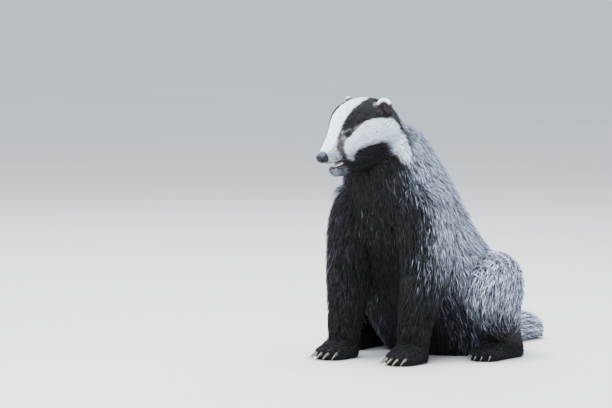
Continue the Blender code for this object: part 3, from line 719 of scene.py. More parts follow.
# Along each part of the skin: place, length of a tuft, its height over the skin, its half width
COATS = {
    "skull": (
        (0, 0.0030, 0.0008, 0.00034),
        (3, 0.0045, 0.0012, 0.00038),
        (5, 0.0065, 0.0019, 0.00042),
        (7, 0.0095, 0.0034, 0.00050),
        (9, 0.0120, 0.0040, 0.00056),
        (11, 0.0145, 0.0043, 0.00062),
        (13, 0.0170, 0.0048, 0.00068),
    ),
    "jaw": (
        (0, 0.0036, 0.0009, 0.00036),
        (5, 0.0070, 0.0020, 0.00048),
        (8, 0.0140, 0.0042, 0.00060),
        (10, 0.0180, 0.0060, 0.00070),
    ),
    "trunk": (
        (0, 0.013, 0.0042, 0.00054),
        (1, 0.016, 0.0055, 0.00055),
        (2, 0.021, 0.0085, 0.00056),
        (3, 0.029, 0.0130, 0.00058),
        (4.5, 0.040, 0.0190, 0.00062),
        (11, 0.044, 0.0195, 0.00070),
    ),
    "tail": ((0, 0.040, 0.016, 0.0009), (4, 0.044, 0.016, 0.0009), (6, 0.038, 0.012, 0.0008)),
    "foreleg": (
        (0, 0.030, 0.0100, 0.00082),
        (2, 0.026, 0.0085, 0.00082),
        (4, 0.018, 0.0055, 0.00078),
        (6, 0.013, 0.0042, 0.00072),
    ),
    "hindleg": (
        (0, 0.042, 0.017, 0.00092),
        (2, 0.036, 0.014, 0.00092),
        (3.5, 0.025, 0.009, 0.00085),
        (5, 0.016, 0.0050, 0.00076),
        (6, 0.013, 0.0042, 0.00072),
    ),
    **dict.fromkeys(("forepaw", "hindpaw"), ((0, 0.0105, 0.0027, 0.00068), (5, 0.0080, 0.0021, 0.00060))),
    "ear": ((0, 0.0036, 0.0011, 0.00033),),
}
# How much higher the hair of the back stands along the trunk: place, height
RUFF = (
    *((0, -0.0015), (1, -0.0008), (1.7, 0.003), (2.4, 0.0065), (3.2, 0.006)),
    *((4, 0.0035), (5, 0), (6, -0.004), (8, -0.003), (11, 0)),
)
TRUNK_BLACK = 0.99  # the most black of the trunk's underside
FORELEG_BLACK = (0.99, 0.01)  # the same at the top of a foreleg, and what it gains downwards
RUFF_LENGTH = 1.5  # how much longer its hair is for each unit of height
UNDERSIDE = (0.35, 0.4)  # what the belly's hair loses of its length and height
EYE_COAT = (0.28, 0.72)  # the share of the coat left at the lids, and what comes back away from them
HEAD, BODY, TAIL, LEG = range(4)
REGIONS = {"skull": HEAD, "jaw": HEAD, "ear": HEAD, "trunk": BODY, "tail": TAIL}
# How often the tufts cover the skin in each region, and how much more often on the thighs
LAYERS = {HEAD: 5.0, BODY: 5.4, TAIL: 6.5, LEG: 3.1}
THIGH_LAYERS = 1.1
# The rings of a tuft: shares of its length and of its height, and the half width of all but its point
LONG_TUFT = ((0.0, 0.34, 0.70, 1.0), (0.0, 0.60, 0.93, 1.0), (0.7, 1.0, 0.72))
SHORT_TUFT = ((0.0, 0.5, 1.0), (0.0, 0.72, 1.0), (0.8, 0.9))
LONG_FROM = 0.020
LENGTH_RANGE = (0.72, 1.25)
HALF_RANGE = (0.75, 1.3)
HEIGHT_RANGE = (0.45, 0.57, 0.7)  # the least, what chance adds, and the power of that chance
ROOT_SINK = 0.0008
LEAST_HEIGHT = 0.0006  # over the floor
THICKNESS = 0.45
SWING = 0.10
SWING_BEND = 1.5
EDGE_JITTER = 0.0005
LOCK_SIZES = {True: 9, False: 5}  # tufts in a lock of long and of short hair
LOCK_LEAN = 0.17
UV_MARGIN = (0.004, 0.992)
UV_LIMITS = (0.0005, 0.9995)
TUFT_FLAT = ((-0.5, -0.5), (0.0, -0.35), (0.5, -0.5))  # a ring's three points in the patch
TUFT_FLAT_STEP = 0.8
# The samples that carry the coat's numbers over to the skin
CLOUD_STEP = 0.02
CLOUD_SIDES = 28
EAR_CLOUD = (24, np.linspace(-1.1, 1.2, 9))
EAR_HAIR_BACK = 0.3
NEAR_SAMPLES = 6
SAMPLE_REACH = 0.0012
SOFT_ROUNDS = (8, 3)
# The columns of a sample: the way the hair lies, a tuft's measures, how black it is, and its region
WAY, LENGTH, HEIGHT, HALF, DARK, REGION = slice(0, 3), 3, 4, 5, 6, 7
# Soft edges of the coat and its markings: where each starts and where it is whole
EDGES = {
    "skull_dark": (-0.2, 0.5),
    "trunk_dark": (0.09, 0.76),
    "foreleg_dark": (1.3, 2.8),
    "foreleg_black": (1.5, 3.0),
    "foreleg_inside": (0.0, 0.5),
    "foreleg_front": (-0.1, 0.85),
    "hindleg_dark": (2.5, 3.8),
    "hindleg_inside": (0.3, 0.7),
    "thigh_falls": (2.0, 3.2),
    "underside": (0.3, 0.9),
    "ruff": (0.1, 0.8),
    "thigh": (0.024, 0.034),
    "lids": (1.4, 4.5),
    "blaze_tip": (0.020, 0.034),
    "cheek_below": (0.000, 0.008),
    "cheek_below_from": (0.054, 0.062),
    "cheek_below_to": (0.116, 0.124),
    "lip_below": (0.008, 0.020),
    "lip_to": (0.052, 0.062),
    "midline": (0.003, 0.006),
    "fringe": (0.004, 0.016),
    "fringe_to": (0.055, 0.068),
    "muzzle_side_to": (0.037, 0.048),
    "muzzle_side": (-0.014, -0.006),
    "jaw": (0.0225, 0.0255),
    "freckles": (0.0, 0.4),
    "chin_to": (0.034, 0.041),
    "chin_up_to": (-0.026, -0.022),
    "chin_fades": (0.016, 0.030),
    "throat": (0.056, 0.070),
    "ear": (1.25, 1.45),
    "ear_shell": (1.14, 1.26),
    "ear_front": (1.05, 1.35),
    "ear_edge": (0.64, 0.80),
    "ear_foot": (-0.5, -0.1),
    "ear_top_left": (0.40, 0.56),
    "ear_top_right": (0.80, 0.90),
    "black_coat": (0.95, 0.99),
}
# Waves that roughen the edges and tones: scale and phase
WAVES = {
    "blaze": (300, 1.0),
    "cheek": (260, 2.0),
    "white": (170, 3.0),
    "nape": (150, 4.0),
    "belly": (70, 5.0),
    "muzzle": (420, 6.0),
    "freckles": (620, 8.0),
    "fringe": (480, 9.0),
    "nose": (900, 2.0),
}


def edge(value, name):
    return smooth(value, *EDGES[name])


def darkness(part, place, angle, side):
    """How black the coat of a part is at a place, away from the head."""
    around, inner = math.sin(angle), -math.cos(angle) * side
    if part in ("jaw", "forepaw", "hindpaw"):
        return 1.0
    if part == "skull":
        return float(edge(-around, "skull_dark"))
    if part == "trunk":
        return float(TRUNK_BLACK * edge(-around, "trunk_dark"))
    if part == "foreleg":
        dark = max(edge(place, "foreleg_dark"), edge(inner, "foreleg_inside"), edge(around, "foreleg_front"))
        return float(dark * stepped(FORELEG_BLACK, edge(place, "foreleg_black")))
    if part == "hindleg":
        return float(max(edge(place, "hindleg_dark"), edge(inner, "hindleg_inside")))
    return 0.0


def lie_cloud(parts):
    """Samples over the parts of the skin: place, the way the hair lies, and the coat's numbers there."""
    spots, rows = [], []

    def sample(spot, ahead, part, place, angle, side):
        way = unit(ahead - spot)
        if part == "hindleg":
            way = unit(way - UP * float(1 - edge(place, "thigh_falls")))
        length, height, half = (float(value) for value in columns(COATS[part], place, 1, 2, 3))
        if part == "trunk":
            under = float(edge(-math.sin(angle), "underside"))
            length, height = length * (1 - UNDERSIDE[0] * under), height * (1 - UNDERSIDE[1] * under)
            ruff = float(columns(RUFF, place, 1)[0] * edge(math.sin(angle), "ruff"))
            length, height = length + RUFF_LENGTH * ruff, height + ruff
        region = REGIONS.get(part, LEG)
        spots.append(spot)
        rows.append((*way, length, height, half, darkness(part, place, angle, side), region))

    for part, ring, last, count, side in parts:
        for place in np.linspace(CLOUD_STEP, last - CLOUD_STEP, 2 * count):
            for angle in np.arange(CLOUD_SIDES) * 2 * math.pi / CLOUD_SIDES:
                here, there = ring(place), ring(place + CLOUD_STEP)
                sample(on_ring(here, angle), on_ring(there, angle), part, place, angle, side)
    turns, lifts = EAR_CLOUD
    for side in (1, -1):
        facing, across, up = ear_axes(side)
        for turn in np.arange(turns) * 2 * math.pi / turns:
            for lift in lifts:
                out = facing * math.cos(turn) * EAR_SIZE[0] + across * math.sin(turn) * EAR_SIZE[1]
                spot = ear_centre(side) + out * math.cos(lift) + up * math.sin(lift) * EAR_SIZE[2]
                sample(spot, spot + up - HEAD_FORWARD * EAR_HAIR_BACK, "ear", 0, 0, side)
    return np.array(spots), np.array(rows)


def tree_of(spots):
    tree = KDTree(len(spots))
    for k, spot in enumerate(spots):
        tree.insert(spot, k)
    tree.balance()
    return tree


class Skin:
    """The skin's triangles with the coat's numbers at each vertex."""

    def __init__(self, obj, parts):
        mesh = obj.data
        self.points = positions(mesh)
        self.faces = read(mesh.loop_triangles, "vertices", 3, int)
        self.loops = read(mesh.loop_triangles, "loops", 3, int)
        self.rows = self.softened(self.gathered(*lie_cloud(parts)), SOFT_ROUNDS[0])
        self.rows[:, [LENGTH, HEIGHT]] *= stepped(EYE_COAT, edge(round_eyes(self.points), "lids"))[:, None]
        self.normals = units(self.softened(read(mesh.vertices, "normal", 3), SOFT_ROUNDS[1]))
        self.rows[:, WAY] = flattened(self.rows[:, WAY], self.normals)
        self.tree = BVHTree.FromPolygons(self.points.tolist(), self.faces.tolist())

    def gathered(self, spots, rows):
        """The samples' numbers at each vertex, by nearness, and the nearest one's region."""
        tree = tree_of(spots)
        made = np.empty((len(self.points), rows.shape[1]))
        for k, point in enumerate(self.points):
            found = tree.find_n(point, NEAR_SAMPLES)
            near = [item[1] for item in found]
            shares = 1 / (np.array([item[2] for item in found]) + SAMPLE_REACH) ** 2
            made[k] = (rows[near] * shares[:, None]).sum(0) / shares.sum()
            made[k, REGION] = rows[near[0], REGION]
        return made

    def softened(self, values, rounds):
        """The values at the vertices, evened out with their neighbours'; not their region."""
        a = np.concatenate([self.faces[:, 0], self.faces[:, 1], self.faces[:, 2]])
        b = np.concatenate([self.faces[:, 1], self.faces[:, 2], self.faces[:, 0]])
        count = np.bincount(a, minlength=len(self.points))[:, None] + TINY
        made = values.copy()
        last = min(values.shape[1], REGION)
        for _ in range(rounds):
            near = np.stack([np.bincount(a, made[b, k], len(self.points)) for k in range(last)], 1)
            made[:, :last] = 0.5 * made[:, :last] + 0.5 * near / count
        return made


def head_places(points):
    """(behind, left, above) on the head of each point."""
    away = points - NOSE_TIP
    return -away @ HEAD_FORWARD, away @ HEAD_LEFT, away @ HEAD_UP


def ripple(points, name):
    """A smooth irregular wave over space, from -1 to 1."""
    scale, phase = WAVES[name]
    x, y, z = (points * scale).T
    return (
        np.sin(1.7 * x + 0.9 * y + phase) * np.sin(1.1 * y - 1.3 * z + 2 * phase)
        + np.sin(2.3 * z + 1.9 * x - phase) * np.sin(2.9 * y + 0.7 * x + 3 * phase)
    ) / 2


def head_turn(behind, left, above):
    """How far round the head to the left a place is from its crown, in degrees: 90 at its widest."""
    top, bottom, half = columns(SKULL_ROWS, behind, 1, 2, 3)
    middle = widest(top, bottom, SKULL_LEVEL)
    return np.degrees(np.arctan2(left / half, (above - middle) / (top - middle)))


# Where the white blaze of the head ends: behind, degrees round from the crown to the left and to the right
BLAZE = (
    (0.000, 62, 62),
    (0.012, 49, 49),
    (0.018, 46, 46),
    (0.025, 43, 43),
    (0.031, 39, 39),
    (0.036, 35, 35),
    (0.042, 34, 33),
    (0.049, 31, 28),
    (0.057, 30, 23),
    (0.064, 29, 15),
    (0.075, 27, 9),
    (0.088, 24, 8),
    (0.099, 20, 7),
    (0.110, 16, 6),
    (0.118, 9, 3),
    (0.125, -2, -2),
    (0.150, -6, -6),
)
# The white of each cheek and side of the neck, as an outline of (behind, above)
CHEEK = (
    (0.0412, 0.0090),
    (0.0467, 0.0130),
    (0.0541, 0.0161),
    (0.0599, 0.0205),
    (0.0659, 0.0248),
    (0.0738, 0.0277),
    (0.0801, 0.0285),
    (0.0958, 0.0262),
    (0.1108, 0.0193),
    (0.1215, 0.0156),
    (0.1288, 0.0035),
    (0.1342, -0.0100),
    (0.1350, -0.0180),
    (0.1328, -0.0275),
    (0.1285, -0.0400),
    (0.1235, -0.0490),
    (0.1180, -0.0560),
    (0.1126, -0.0505),
    (0.1116, -0.0433),
    (0.1104, -0.0344),
    (0.1094, -0.0225),
    (0.1015, -0.0110),
    (0.0902, -0.0052),
    (0.0775, -0.0036),
    (0.0661, -0.0034),
    (0.0560, -0.0060),
    (0.0495, -0.0160),
    (0.0458, -0.0225),
    (0.0425, -0.0180),
    (0.0370, -0.0057),
    (0.0369, 0.0020),
)
# Where the dark stripe starts on the muzzle, and where the head's markings give way to the grizzled coat
MUZZLE_EDGE = ((-0.012, 0.030), (-0.005, 0.0265), (0.0026, 0.0242), (0.009, 0.028), (0.016, 0.034))
NAPE_EDGE = (
    (-0.090, 0.100),
    (-0.060, 0.112),
    (-0.049, 0.1270),
    (-0.038, 0.1345),
    (-0.028, 0.1405),
    (-0.018, 0.1455),
    (-0.008, 0.1475),
    (0.0045, 0.1450),
    (0.015, 0.1510),
    (0.030, 0.1600),
    (0.050, 0.1650),
)
# Paler patches of hair before and behind the eye: behind, left, above, reach, strength
PALE_PATCHES = (
    (0.0425, 0.0205, 0.0150, 0.0038, 0.40),
    (0.0620, 0.0320, 0.0215, 0.0044, 0.48),
    (0.0455, 0.0165, 0.0235, 0.0030, 0.30),
)
# How soft the markings' edges are, and how far their waves reach
BLAZE_SOFT = (1.5, 6)
BLAZE_WAVE = 2.2
CHEEK_SOFT = (0.0011, 0.0060, 0.0020)
CHEEK_WAVE = 0.0009
STRIPE_SOFT = 0.003
STRIPE_WAVE = 0.0012
NAPE_WAVE = 0.0015
BELLY_WAVE = 0.4
# Shares of a marking, as the part that is always there and the part that varies
FRINGE_SHARES = (0.74, 0.24)
FRECKLE_SHARES = (0.50, 0.40)
BROWN_SHARES = (0.06, 0.35)
# The chin's painted blue-grey shade, less of it further behind
CHIN_SHADE_SHARES = (0.46, -0.30)
MUZZLE_PALE = (0.03, 0.96)
# Painted blue-grey shade along the cheeks' lower edges
CHEEK_EDGE_SHADE = 3.0
EAR_STRETCH = (1.5, 1.05)  # of an ear's depth and width, for what belongs to it
CUP_SHARES = (0.78, 0.22)  # black and brown in an ear's cup
IN_WHITE, IN_BLACK, IN_COAT = 0, 1, 4  # the columns of white, black and grizzled coat in the markings


def inside_by(outline, x, y):
    """How far inside a closed outline each place lies; less than 0 outside."""
    outline = np.array(outline)
    near = np.full(len(x), 1e9)
    inside = np.zeros(len(x), bool)
    for (ax, ay), (bx, by) in zip(outline, np.roll(outline, -1, 0)):
        dx, dy = bx - ax, by - ay
        t = np.clip(((x - ax) * dx + (y - ay) * dy) / (dx * dx + dy * dy), 0, 1)
        near = np.minimum(near, (x - ax - t * dx) ** 2 + (y - ay - t * dy) ** 2)
        if dy:
            inside ^= ((ay > y) != (by > y)) & (x < ax + dx * (y - ay) / dy)
    return np.where(inside, 1, -1) * np.sqrt(near)


def ear_rim(points):
    """How much each point belongs to the white rim of an ear, and how much to the whole ear."""
    rim, whole = np.zeros(len(points)), np.zeros(len(points))
    for side in (1, -1):
        off = points - ear_centre(side)
        facing, across, up = (off @ axis / size for axis, size in zip(ear_axes(side), EAR_SIZE))
        reach = np.sqrt((facing / EAR_STRETCH[0]) ** 2 + across**2 + up**2)
        outline = np.sqrt((across / EAR_STRETCH[1]) ** 2 + up**2)
        top = edge(up, "ear_top_left" if side > 0 else "ear_top_right")
        on_shell = (1 - edge(reach, "ear_shell")) * (1 - edge(facing, "ear_front"))
        rim = np.maximum(rim, on_shell * edge(outline, "ear_edge") * top)
        whole = np.maximum(whole, (1 - edge(reach, "ear")) * edge(up, "ear_foot"))
    return rim, whole


def markings(points, dark):
    """Shares of white, black, blue-grey (painted shade on white fur, and pale grey), muzzle brown and
    grizzled coat at each point.
    """
    behind, left, above = head_places(points)
    low = -above

    # White: the blaze of the crown, and the cheeks with their ragged lower edge
    turn = head_turn(behind, left, above)
    near, far = columns(BLAZE, behind, 1, 2)
    soft = stepped(BLAZE_SOFT, 1 - edge(behind, "blaze_tip"))
    blaze = smooth(np.minimum(near - turn, turn + far) + BLAZE_WAVE * ripple(points, "blaze"), -soft, soft)
    cheek = inside_by(CHEEK, behind, above) + CHEEK_WAVE * ripple(points, "cheek")
    below = edge(low, "cheek_below") * edge(behind, "cheek_below_from") * (1 - edge(behind, "cheek_below_to"))
    plain, under, lip = CHEEK_SOFT
    soft = plain + under * below + lip * edge(low, "lip_below") * (1 - edge(behind, "lip_to"))
    cheek = smooth(cheek, -soft, soft) * edge(np.abs(left), "midline")
    fringe = edge(low, "fringe") * (1 - edge(behind, "fringe_to"))
    cheek *= 1 - fringe * stepped(FRINGE_SHARES, ripple(points, "fringe"))
    light = np.maximum(blaze, cheek)

    # Brown and pale: the freckled muzzle, the chin, the cheeks' ragged edges and the patches at the eyes,
    # with painted blue-grey shade under the chin and along the cheeks' lower edges
    start = columns(MUZZLE_EDGE, above, 1)[0] + STRIPE_WAVE * ripple(points, "muzzle")
    stripe = smooth(behind, start - STRIPE_SOFT, start + STRIPE_SOFT)
    muzzle_side = stripe * (1 - edge(behind, "muzzle_side_to")) * edge(above, "muzzle_side")
    jaw = edge(low, "jaw")
    freckles = stepped(FRECKLE_SHARES, edge(ripple(points, "freckles"), "freckles"))
    brown = stepped(BROWN_SHARES, freckles) * muzzle_side
    brown = np.maximum(brown, freckles * (1 - stripe)) * (1 - jaw)
    # Painted blue-grey shade under the chin
    chin = (1 - edge(behind, "chin_to")) * (1 - edge(above, "chin_up_to"))
    chin *= stepped(CHIN_SHADE_SHARES, edge(behind, "chin_fades"))
    pale = np.maximum(MUZZLE_PALE[0] * muzzle_side, (MUZZLE_PALE[1] - freckles) * (1 - stripe))
    chin = np.maximum(chin, pale * (1 - jaw))
    # Painted blue-grey shade along the cheek's lower edge
    chin = np.maximum(chin, CHEEK_EDGE_SHADE * cheek * (1 - cheek) * np.maximum(below, fringe))
    stripe = np.maximum(stripe, jaw)
    for spot_behind, spot_left, spot_above, reach, strength in PALE_PATCHES:
        off = (behind - spot_behind) ** 2 + (np.abs(left) - spot_left) ** 2 + (above - spot_above) ** 2
        chin = np.maximum(chin, strength * np.exp(-off / reach**2))
    black = np.where(chin + brown > 1, 0, 1 - chin - brown) * stripe * (1 - light)
    brown, chin = brown * (1 - light) * (1 - chin), chin * (1 - light)

    # The ears, and the body's grizzled coat behind and below the head
    rim, ear = ear_rim(points)
    cup = ear * (1 - rim)
    black, brown = (value + (share - value) * cup for value, share in zip((black, brown), CUP_SHARES))
    black, brown, chin = (values * (1 - rim) for values in (black, brown, chin * (1 - cup)))
    trunk_from = columns(NAPE_EDGE, above, 1)[0] + NAPE_WAVE * ripple(points, "nape")
    trunk = smooth(behind, trunk_from - STRIPE_SOFT, trunk_from + STRIPE_SOFT)
    trunk = np.maximum(trunk, edge(low, "throat")) * (1 - ear)
    dark = np.clip(dark + BELLY_WAVE * dark * (1 - dark) * ripple(points, "belly"), 0, 1)
    grizzled = trunk * (1 - dark)
    black = trunk * dark + (1 - trunk) * black
    brown, chin = (1 - trunk) * brown, (1 - trunk) * chin
    white = np.clip(1 - grizzled - black - brown - chin, 0, 1)
    return np.stack([white, black, chin, brown, grizzled], 1)


FAR_FROM_EYES = 9.0


def round_eyes(points):
    """How far each point is from the middle of the nearer eye, in sizes of the lids' opening."""
    made = np.full(len(points), FAR_FROM_EYES)
    for side in (1, -1):
        out, along, across = eye_axes(side)
        off = points - eye_centre(side)
        sizes = np.hypot(off @ along / LID_OPENING[0], off @ across / LID_OPENING[1])
        near = (off @ out > 0) & (np.linalg.norm(off, axis=1) < LID_REACH)
        made = np.where(near, np.minimum(made, sizes), made)
    return made


# Where no hair grows
BARE_HEAD = 0.06  # the nose and mouth are within this height of the nose tip
MOUTH_FACING = 0.1
MOUTH_MARGIN = 0.0003
MOUTH_LEVEL = (0.021, 0.0085)  # its middle below the nose tip, and its reach up and down
BARE_LIDS = 1.34
SOLE_HEIGHT = 0.005
SOLE_FACING = -0.5
# The inside of the mouth on the bare skin: behind, above
MOUTH_BOX = ((0.0135, 0.06), (-0.05, -0.012))
# The skin's tones under the hair, darkened as painted shade of the coat over it, and how much more painted
# shade they take away from the white
SKIN_TONES = np.array([WHITE, BLACK, np.array(SHADED_WHITE_AND_PALE_GREY) * 0.35, MUZZLE_BROWN, np.array(UNDERFUR) * 0.75])
SKIN_SHADE = (0.55, 0.45)


def bare(points, normals):
    """True where no hair grows: nose, mouth, lips, eyes and soles."""
    behind, left, above = head_places(points)
    up = normals @ HEAD_UP
    level = np.abs(above + MOUTH_LEVEL[0]) < MOUTH_LEVEL[1]
    front = behind < NOSE_CUT
    for upper, facing in ((True, up < -MOUTH_FACING), (False, up > MOUTH_FACING)):
        line = np.array([head_places(spot[None]) for spot in lip_line(upper, 1)])[:, :, 0]
        wide = np.interp(behind, line[:, 0], line[:, 1], right=0) - MOUTH_MARGIN
        front |= facing & (np.abs(left) < wide) & (behind > line[0, 0]) & level
    soles = (points[:, 2] < SOLE_HEIGHT) & (normals[:, 2] < SOLE_FACING)
    return front & (np.abs(above) < BARE_HEAD) | (round_eyes(points) < BARE_LIDS) | soles


def skin_colours(skin):
    shares = markings(skin.points, skin.rows[:, DARK])
    colours = shares @ SKIN_TONES * stepped(SKIN_SHADE, shares[:, :1])
    behind, _, above = head_places(skin.points)
    naked = bare(skin.points, skin.normals)
    colours[naked] = SKIN_DARK
    (front, back), (low, high) = MOUTH_BOX
    colours[naked & (behind > front) & (behind < back) & (above < high) & (above > low)] = MOUTH
    return colours


def roots(skin, random):
    """Where the tufts grow: the face, and the shares of its three corners."""
    corners = skin.points[skin.faces]
    areas = np.linalg.norm(np.cross(corners[:, 1] - corners[:, 0], corners[:, 2] - corners[:, 0]), axis=1) / 2
    rows = skin.rows[skin.faces].mean(1)
    regions = skin.rows[skin.faces[:, 0], REGION].astype(int)
    layers = np.array([LAYERS[region] for region in range(4)])[regions]
    layers = layers + THIGH_LAYERS * (regions == LEG) * edge(rows[:, LENGTH], "thigh")
    density = layers / (rows[:, LENGTH] * rows[:, HALF])
    middle = corners.mean(1)
    density[bare(middle, skin.normals[skin.faces[:, 0]])] = 0
    weights = areas * density
    count = int(weights.sum())
    chosen = np.sort(random.choice(len(weights), count, p=weights / weights.sum()))
    shares = random.dirichlet((1, 1, 1), count)
    return chosen, shares


def toward_locks(spots, ways, lengths, random, size):
    """How far each tuft leans towards the lock that it belongs to, and which one that is."""
    centres = random.choice(len(spots), max(2, len(spots) // size), replace=False)
    tree = tree_of(spots[centres])
    found = [tree.find(spot)[1] for spot in spots]
    lean = spots[centres][found] - spots
    lean -= ways * np.sum(lean * ways, 1)[:, None]
    reach = np.linalg.norm(lean, axis=1)[:, None]
    return lean * np.minimum(1, LOCK_LEAN * lengths[:, None] / np.maximum(reach, TINY)), np.array(found)


# How the tufts' tones vary by chance, each as its spread or its parts
OWN_DARKNESS = 0.24
LIGHT_STRAYS = (0.35, 0.03)  # how much lighter, and how many
GREY = (1, 0.16)
LOCK_GREY = (0.10, 12.9898)
# Painted bluish shade on white tufts, in streaks by chance, by lock and by a wave, with a least amount over
# all
SHADE_ON_WHITE = (0.55, 0.45, 4.1, 0.28, 0.10)  # base, lock, the lock's step, wave and least
MOST_SHADE_ON_WHITE = 1.2
# Painted sheen on black tufts: the least, what chance adds, and the power of that chance
SHEEN = (0.6, 2.2, 3)
GREY_LIMITS = (0.5, 0.45, 1.5)  # the least on the head and on the body, and the most
# Kinds of grizzled tuft, as shares of a draw: dark low down, light above, dark below the tip, dark at the tip
LOW_BAND, PALE_FROM, PALE_TO, HIGH_BAND, TIP_BAND = 0.30, 0.42, 0.52, 0.78, 0.92
VEIL = (0.01, 1.25, 0.2)  # where chance starts, how steep it is, and how much less chance where all is black
COAT_FROM = 0.012
# Painted shade at each tuft's root, under the coat
ROOT_SHADE = 0.55
TONE_LIMITS = (0.003, 0.9)


def tuft_tones(path, dark, lock, random):
    """The colour of each tuft at its root and at each bend, by the markings where each of them lies."""
    count, bends = path.shape[:2]
    chance = random.random(count)[:, None]
    kind = random.random(count)
    own = random.normal(0, OWN_DARKNESS, count) - LIGHT_STRAYS[0] * (random.random(count) < LIGHT_STRAYS[1])
    grey = random.normal(*GREY, count) * (1 + LOCK_GREY[0] * np.sin(lock * LOCK_GREY[1]))
    base, by_lock, step, wave, least = SHADE_ON_WHITE
    # How much painted bluish shade each white tuft takes
    cool = random.random(count) * (base + by_lock * np.sin(lock * step))
    cool = np.clip(cool + wave * ripple(path[:, 1], "white") + least, 0, MOST_SHADE_ON_WHITE)[:, None]
    sheen = stepped(SHEEN, random.random(count) ** SHEEN[2])[:, None]
    grey_head, grey_body = (np.clip(grey, low, GREY_LIMITS[2])[:, None] for low in GREY_LIMITS[:2])
    tones = np.empty((count, bends, 3))
    palette = np.array([WHITE, BLACK, SHADED_WHITE_AND_PALE_GREY, MUZZLE_BROWN, UNDERFUR])
    for k in range(bends):
        shares = markings(path[:, max(k, 1)], dark)
        pick = (chance > np.cumsum(shares, 1)).sum(1).clip(0, 4)
        plain = BLEND * (shares @ palette) + (1 - BLEND) * palette[pick]
        plain = np.where(pick[:, None] == IN_WHITE, plain * (1 - cool * WHITE_SHADE), plain * grey_head)
        plain = np.where(pick[:, None] == IN_BLACK, plain * sheen * BLACK_SHEEN, plain)
        last, low = k == bends - 1, kind < LOW_BAND
        banded = low & (k == 1) | (kind > PALE_TO) & (kind < HIGH_BAND) & (k == bends - 2)
        banded |= (kind > TIP_BAND) & last
        light = last & (kind < TIP_BAND) | low & (k > 1) | (kind > PALE_FROM) & (kind < PALE_TO) & (k > 0)
        hair = np.where(banded[:, None], BAND, np.where(light[:, None], TIP, UNDERFUR))
        black, grizzled = shares[:, IN_BLACK], shares[:, IN_COAT]
        veil = black / (black + grizzled + TINY)
        spread = own * (veil > VEIL[0]) * (1 - VEIL[2] * edge(veil, "black_coat"))
        veil = np.clip(0.5 + VEIL[1] * (veil - 0.5) + spread, 0, 1)[:, None]
        hair = hair * grey_body * (1 - veil) + palette[IN_BLACK] * sheen * veil
        coat = (pick == IN_COAT) | (pick == IN_BLACK) & (grizzled > COAT_FROM)
        tones[:, k] = np.where(coat[:, None], hair, plain)
    tones[:, 0] *= ROOT_SHADE
    return np.clip(tones, *TONE_LIMITS)


def tufts(skin, unwrap, random, chosen, shares, long):
    """Points, colours and places on the unwrap of closed, flat, tapered tufts that lie along the body."""
    corner = skin.faces[chosen]
    tables = (skin.points[corner], skin.normals[corner], skin.rows[corner], unwrap[chosen])
    spots, normals, rows, places = (np.einsum("ij,ijk->ik", shares, table) for table in tables)
    normals /= np.linalg.norm(normals, axis=1)[:, None]
    count = len(spots)
    ways = flattened(rows[:, WAY], normals)
    side = np.cross(normals, ways)
    lengths = rows[:, LENGTH] * random.uniform(*LENGTH_RANGE, count)
    heights = rows[:, HEIGHT] * stepped(HEIGHT_RANGE, random.random(count) ** HEIGHT_RANGE[2])
    halves = rows[:, HALF] * random.uniform(*HALF_RANGE, count)
    lean, lock = toward_locks(spots, ways, lengths, random, LOCK_SIZES[long])
    swing = side * (lengths * random.normal(0, SWING, count))[:, None] + lean
    bends, rises, widths = LONG_TUFT if long else SHORT_TUFT
    path, outs = [spots - normals * ROOT_SINK], [normals]
    for bend, rise in zip(bends[1:], rises[1:]):
        aim = spots + ways * (lengths * bend)[:, None] + swing * bend**SWING_BEND
        aim += normals * (0.5 * heights * rise)[:, None]
        found = [skin.tree.find_nearest(point) for point in aim.tolist()]
        touch = np.array([item[0] for item in found])
        out = skin.normals[skin.faces[[item[2] for item in found]]].mean(1)
        out /= np.linalg.norm(out, axis=1)[:, None]
        path.append(touch + out * (heights * rise)[:, None])
        outs.append(out)
    path = np.stack(path, 1)
    rings = len(bends) - 1
    points, flat = np.empty((count, 3 * rings + 1, 3)), np.empty((count, 3 * rings + 1, 2))
    for k, width in enumerate(widths):
        across = units(np.cross(outs[k], path[:, k + 1] - path[:, max(k - 1, 0)]))
        wide = across * (halves * width)[:, None]
        points[:, 3 * k] = path[:, k] - wide
        points[:, 3 * k + 1] = path[:, k] + outs[k] * (THICKNESS * halves * width)[:, None]
        points[:, 3 * k + 2] = path[:, k] + wide
        for n, (x, y) in enumerate(TUFT_FLAT):
            flat[:, 3 * k + n] = np.array([x, y + bends[k] * TUFT_FLAT_STEP]) * TUFT_PATCH
    points[:, -1], flat[:, -1] = path[:, -1], (0.0, 0.5 * TUFT_PATCH)
    points[:, :, 2] = np.maximum(points[:, :, 2], LEAST_HEIGHT)
    jitter = side * random.normal(0, EDGE_JITTER, count)[:, None]
    tones = tuft_tones(path + jitter[:, None], rows[:, DARK], lock, random)
    return points, np.concatenate([np.repeat(tones[:, :-1], 3, 1), tones[:, -1:]], 1), places, flat


def tuft_faces(rings):
    """The triangles of one tuft: its root, its sides and its point."""
    faces = [(0, 1, 2)]
    for k in range(rings - 1):
        for n in range(3):
            a, b = 3 * k + n, 3 * k + (n + 1) % 3
            faces += [(a, a + 3, b), (b, a + 3, b + 3)]
    last = 3 * (rings - 1)
    faces += [(last + n, 3 * rings, last + (n + 1) % 3) for n in range(3)]
    return np.array(faces)


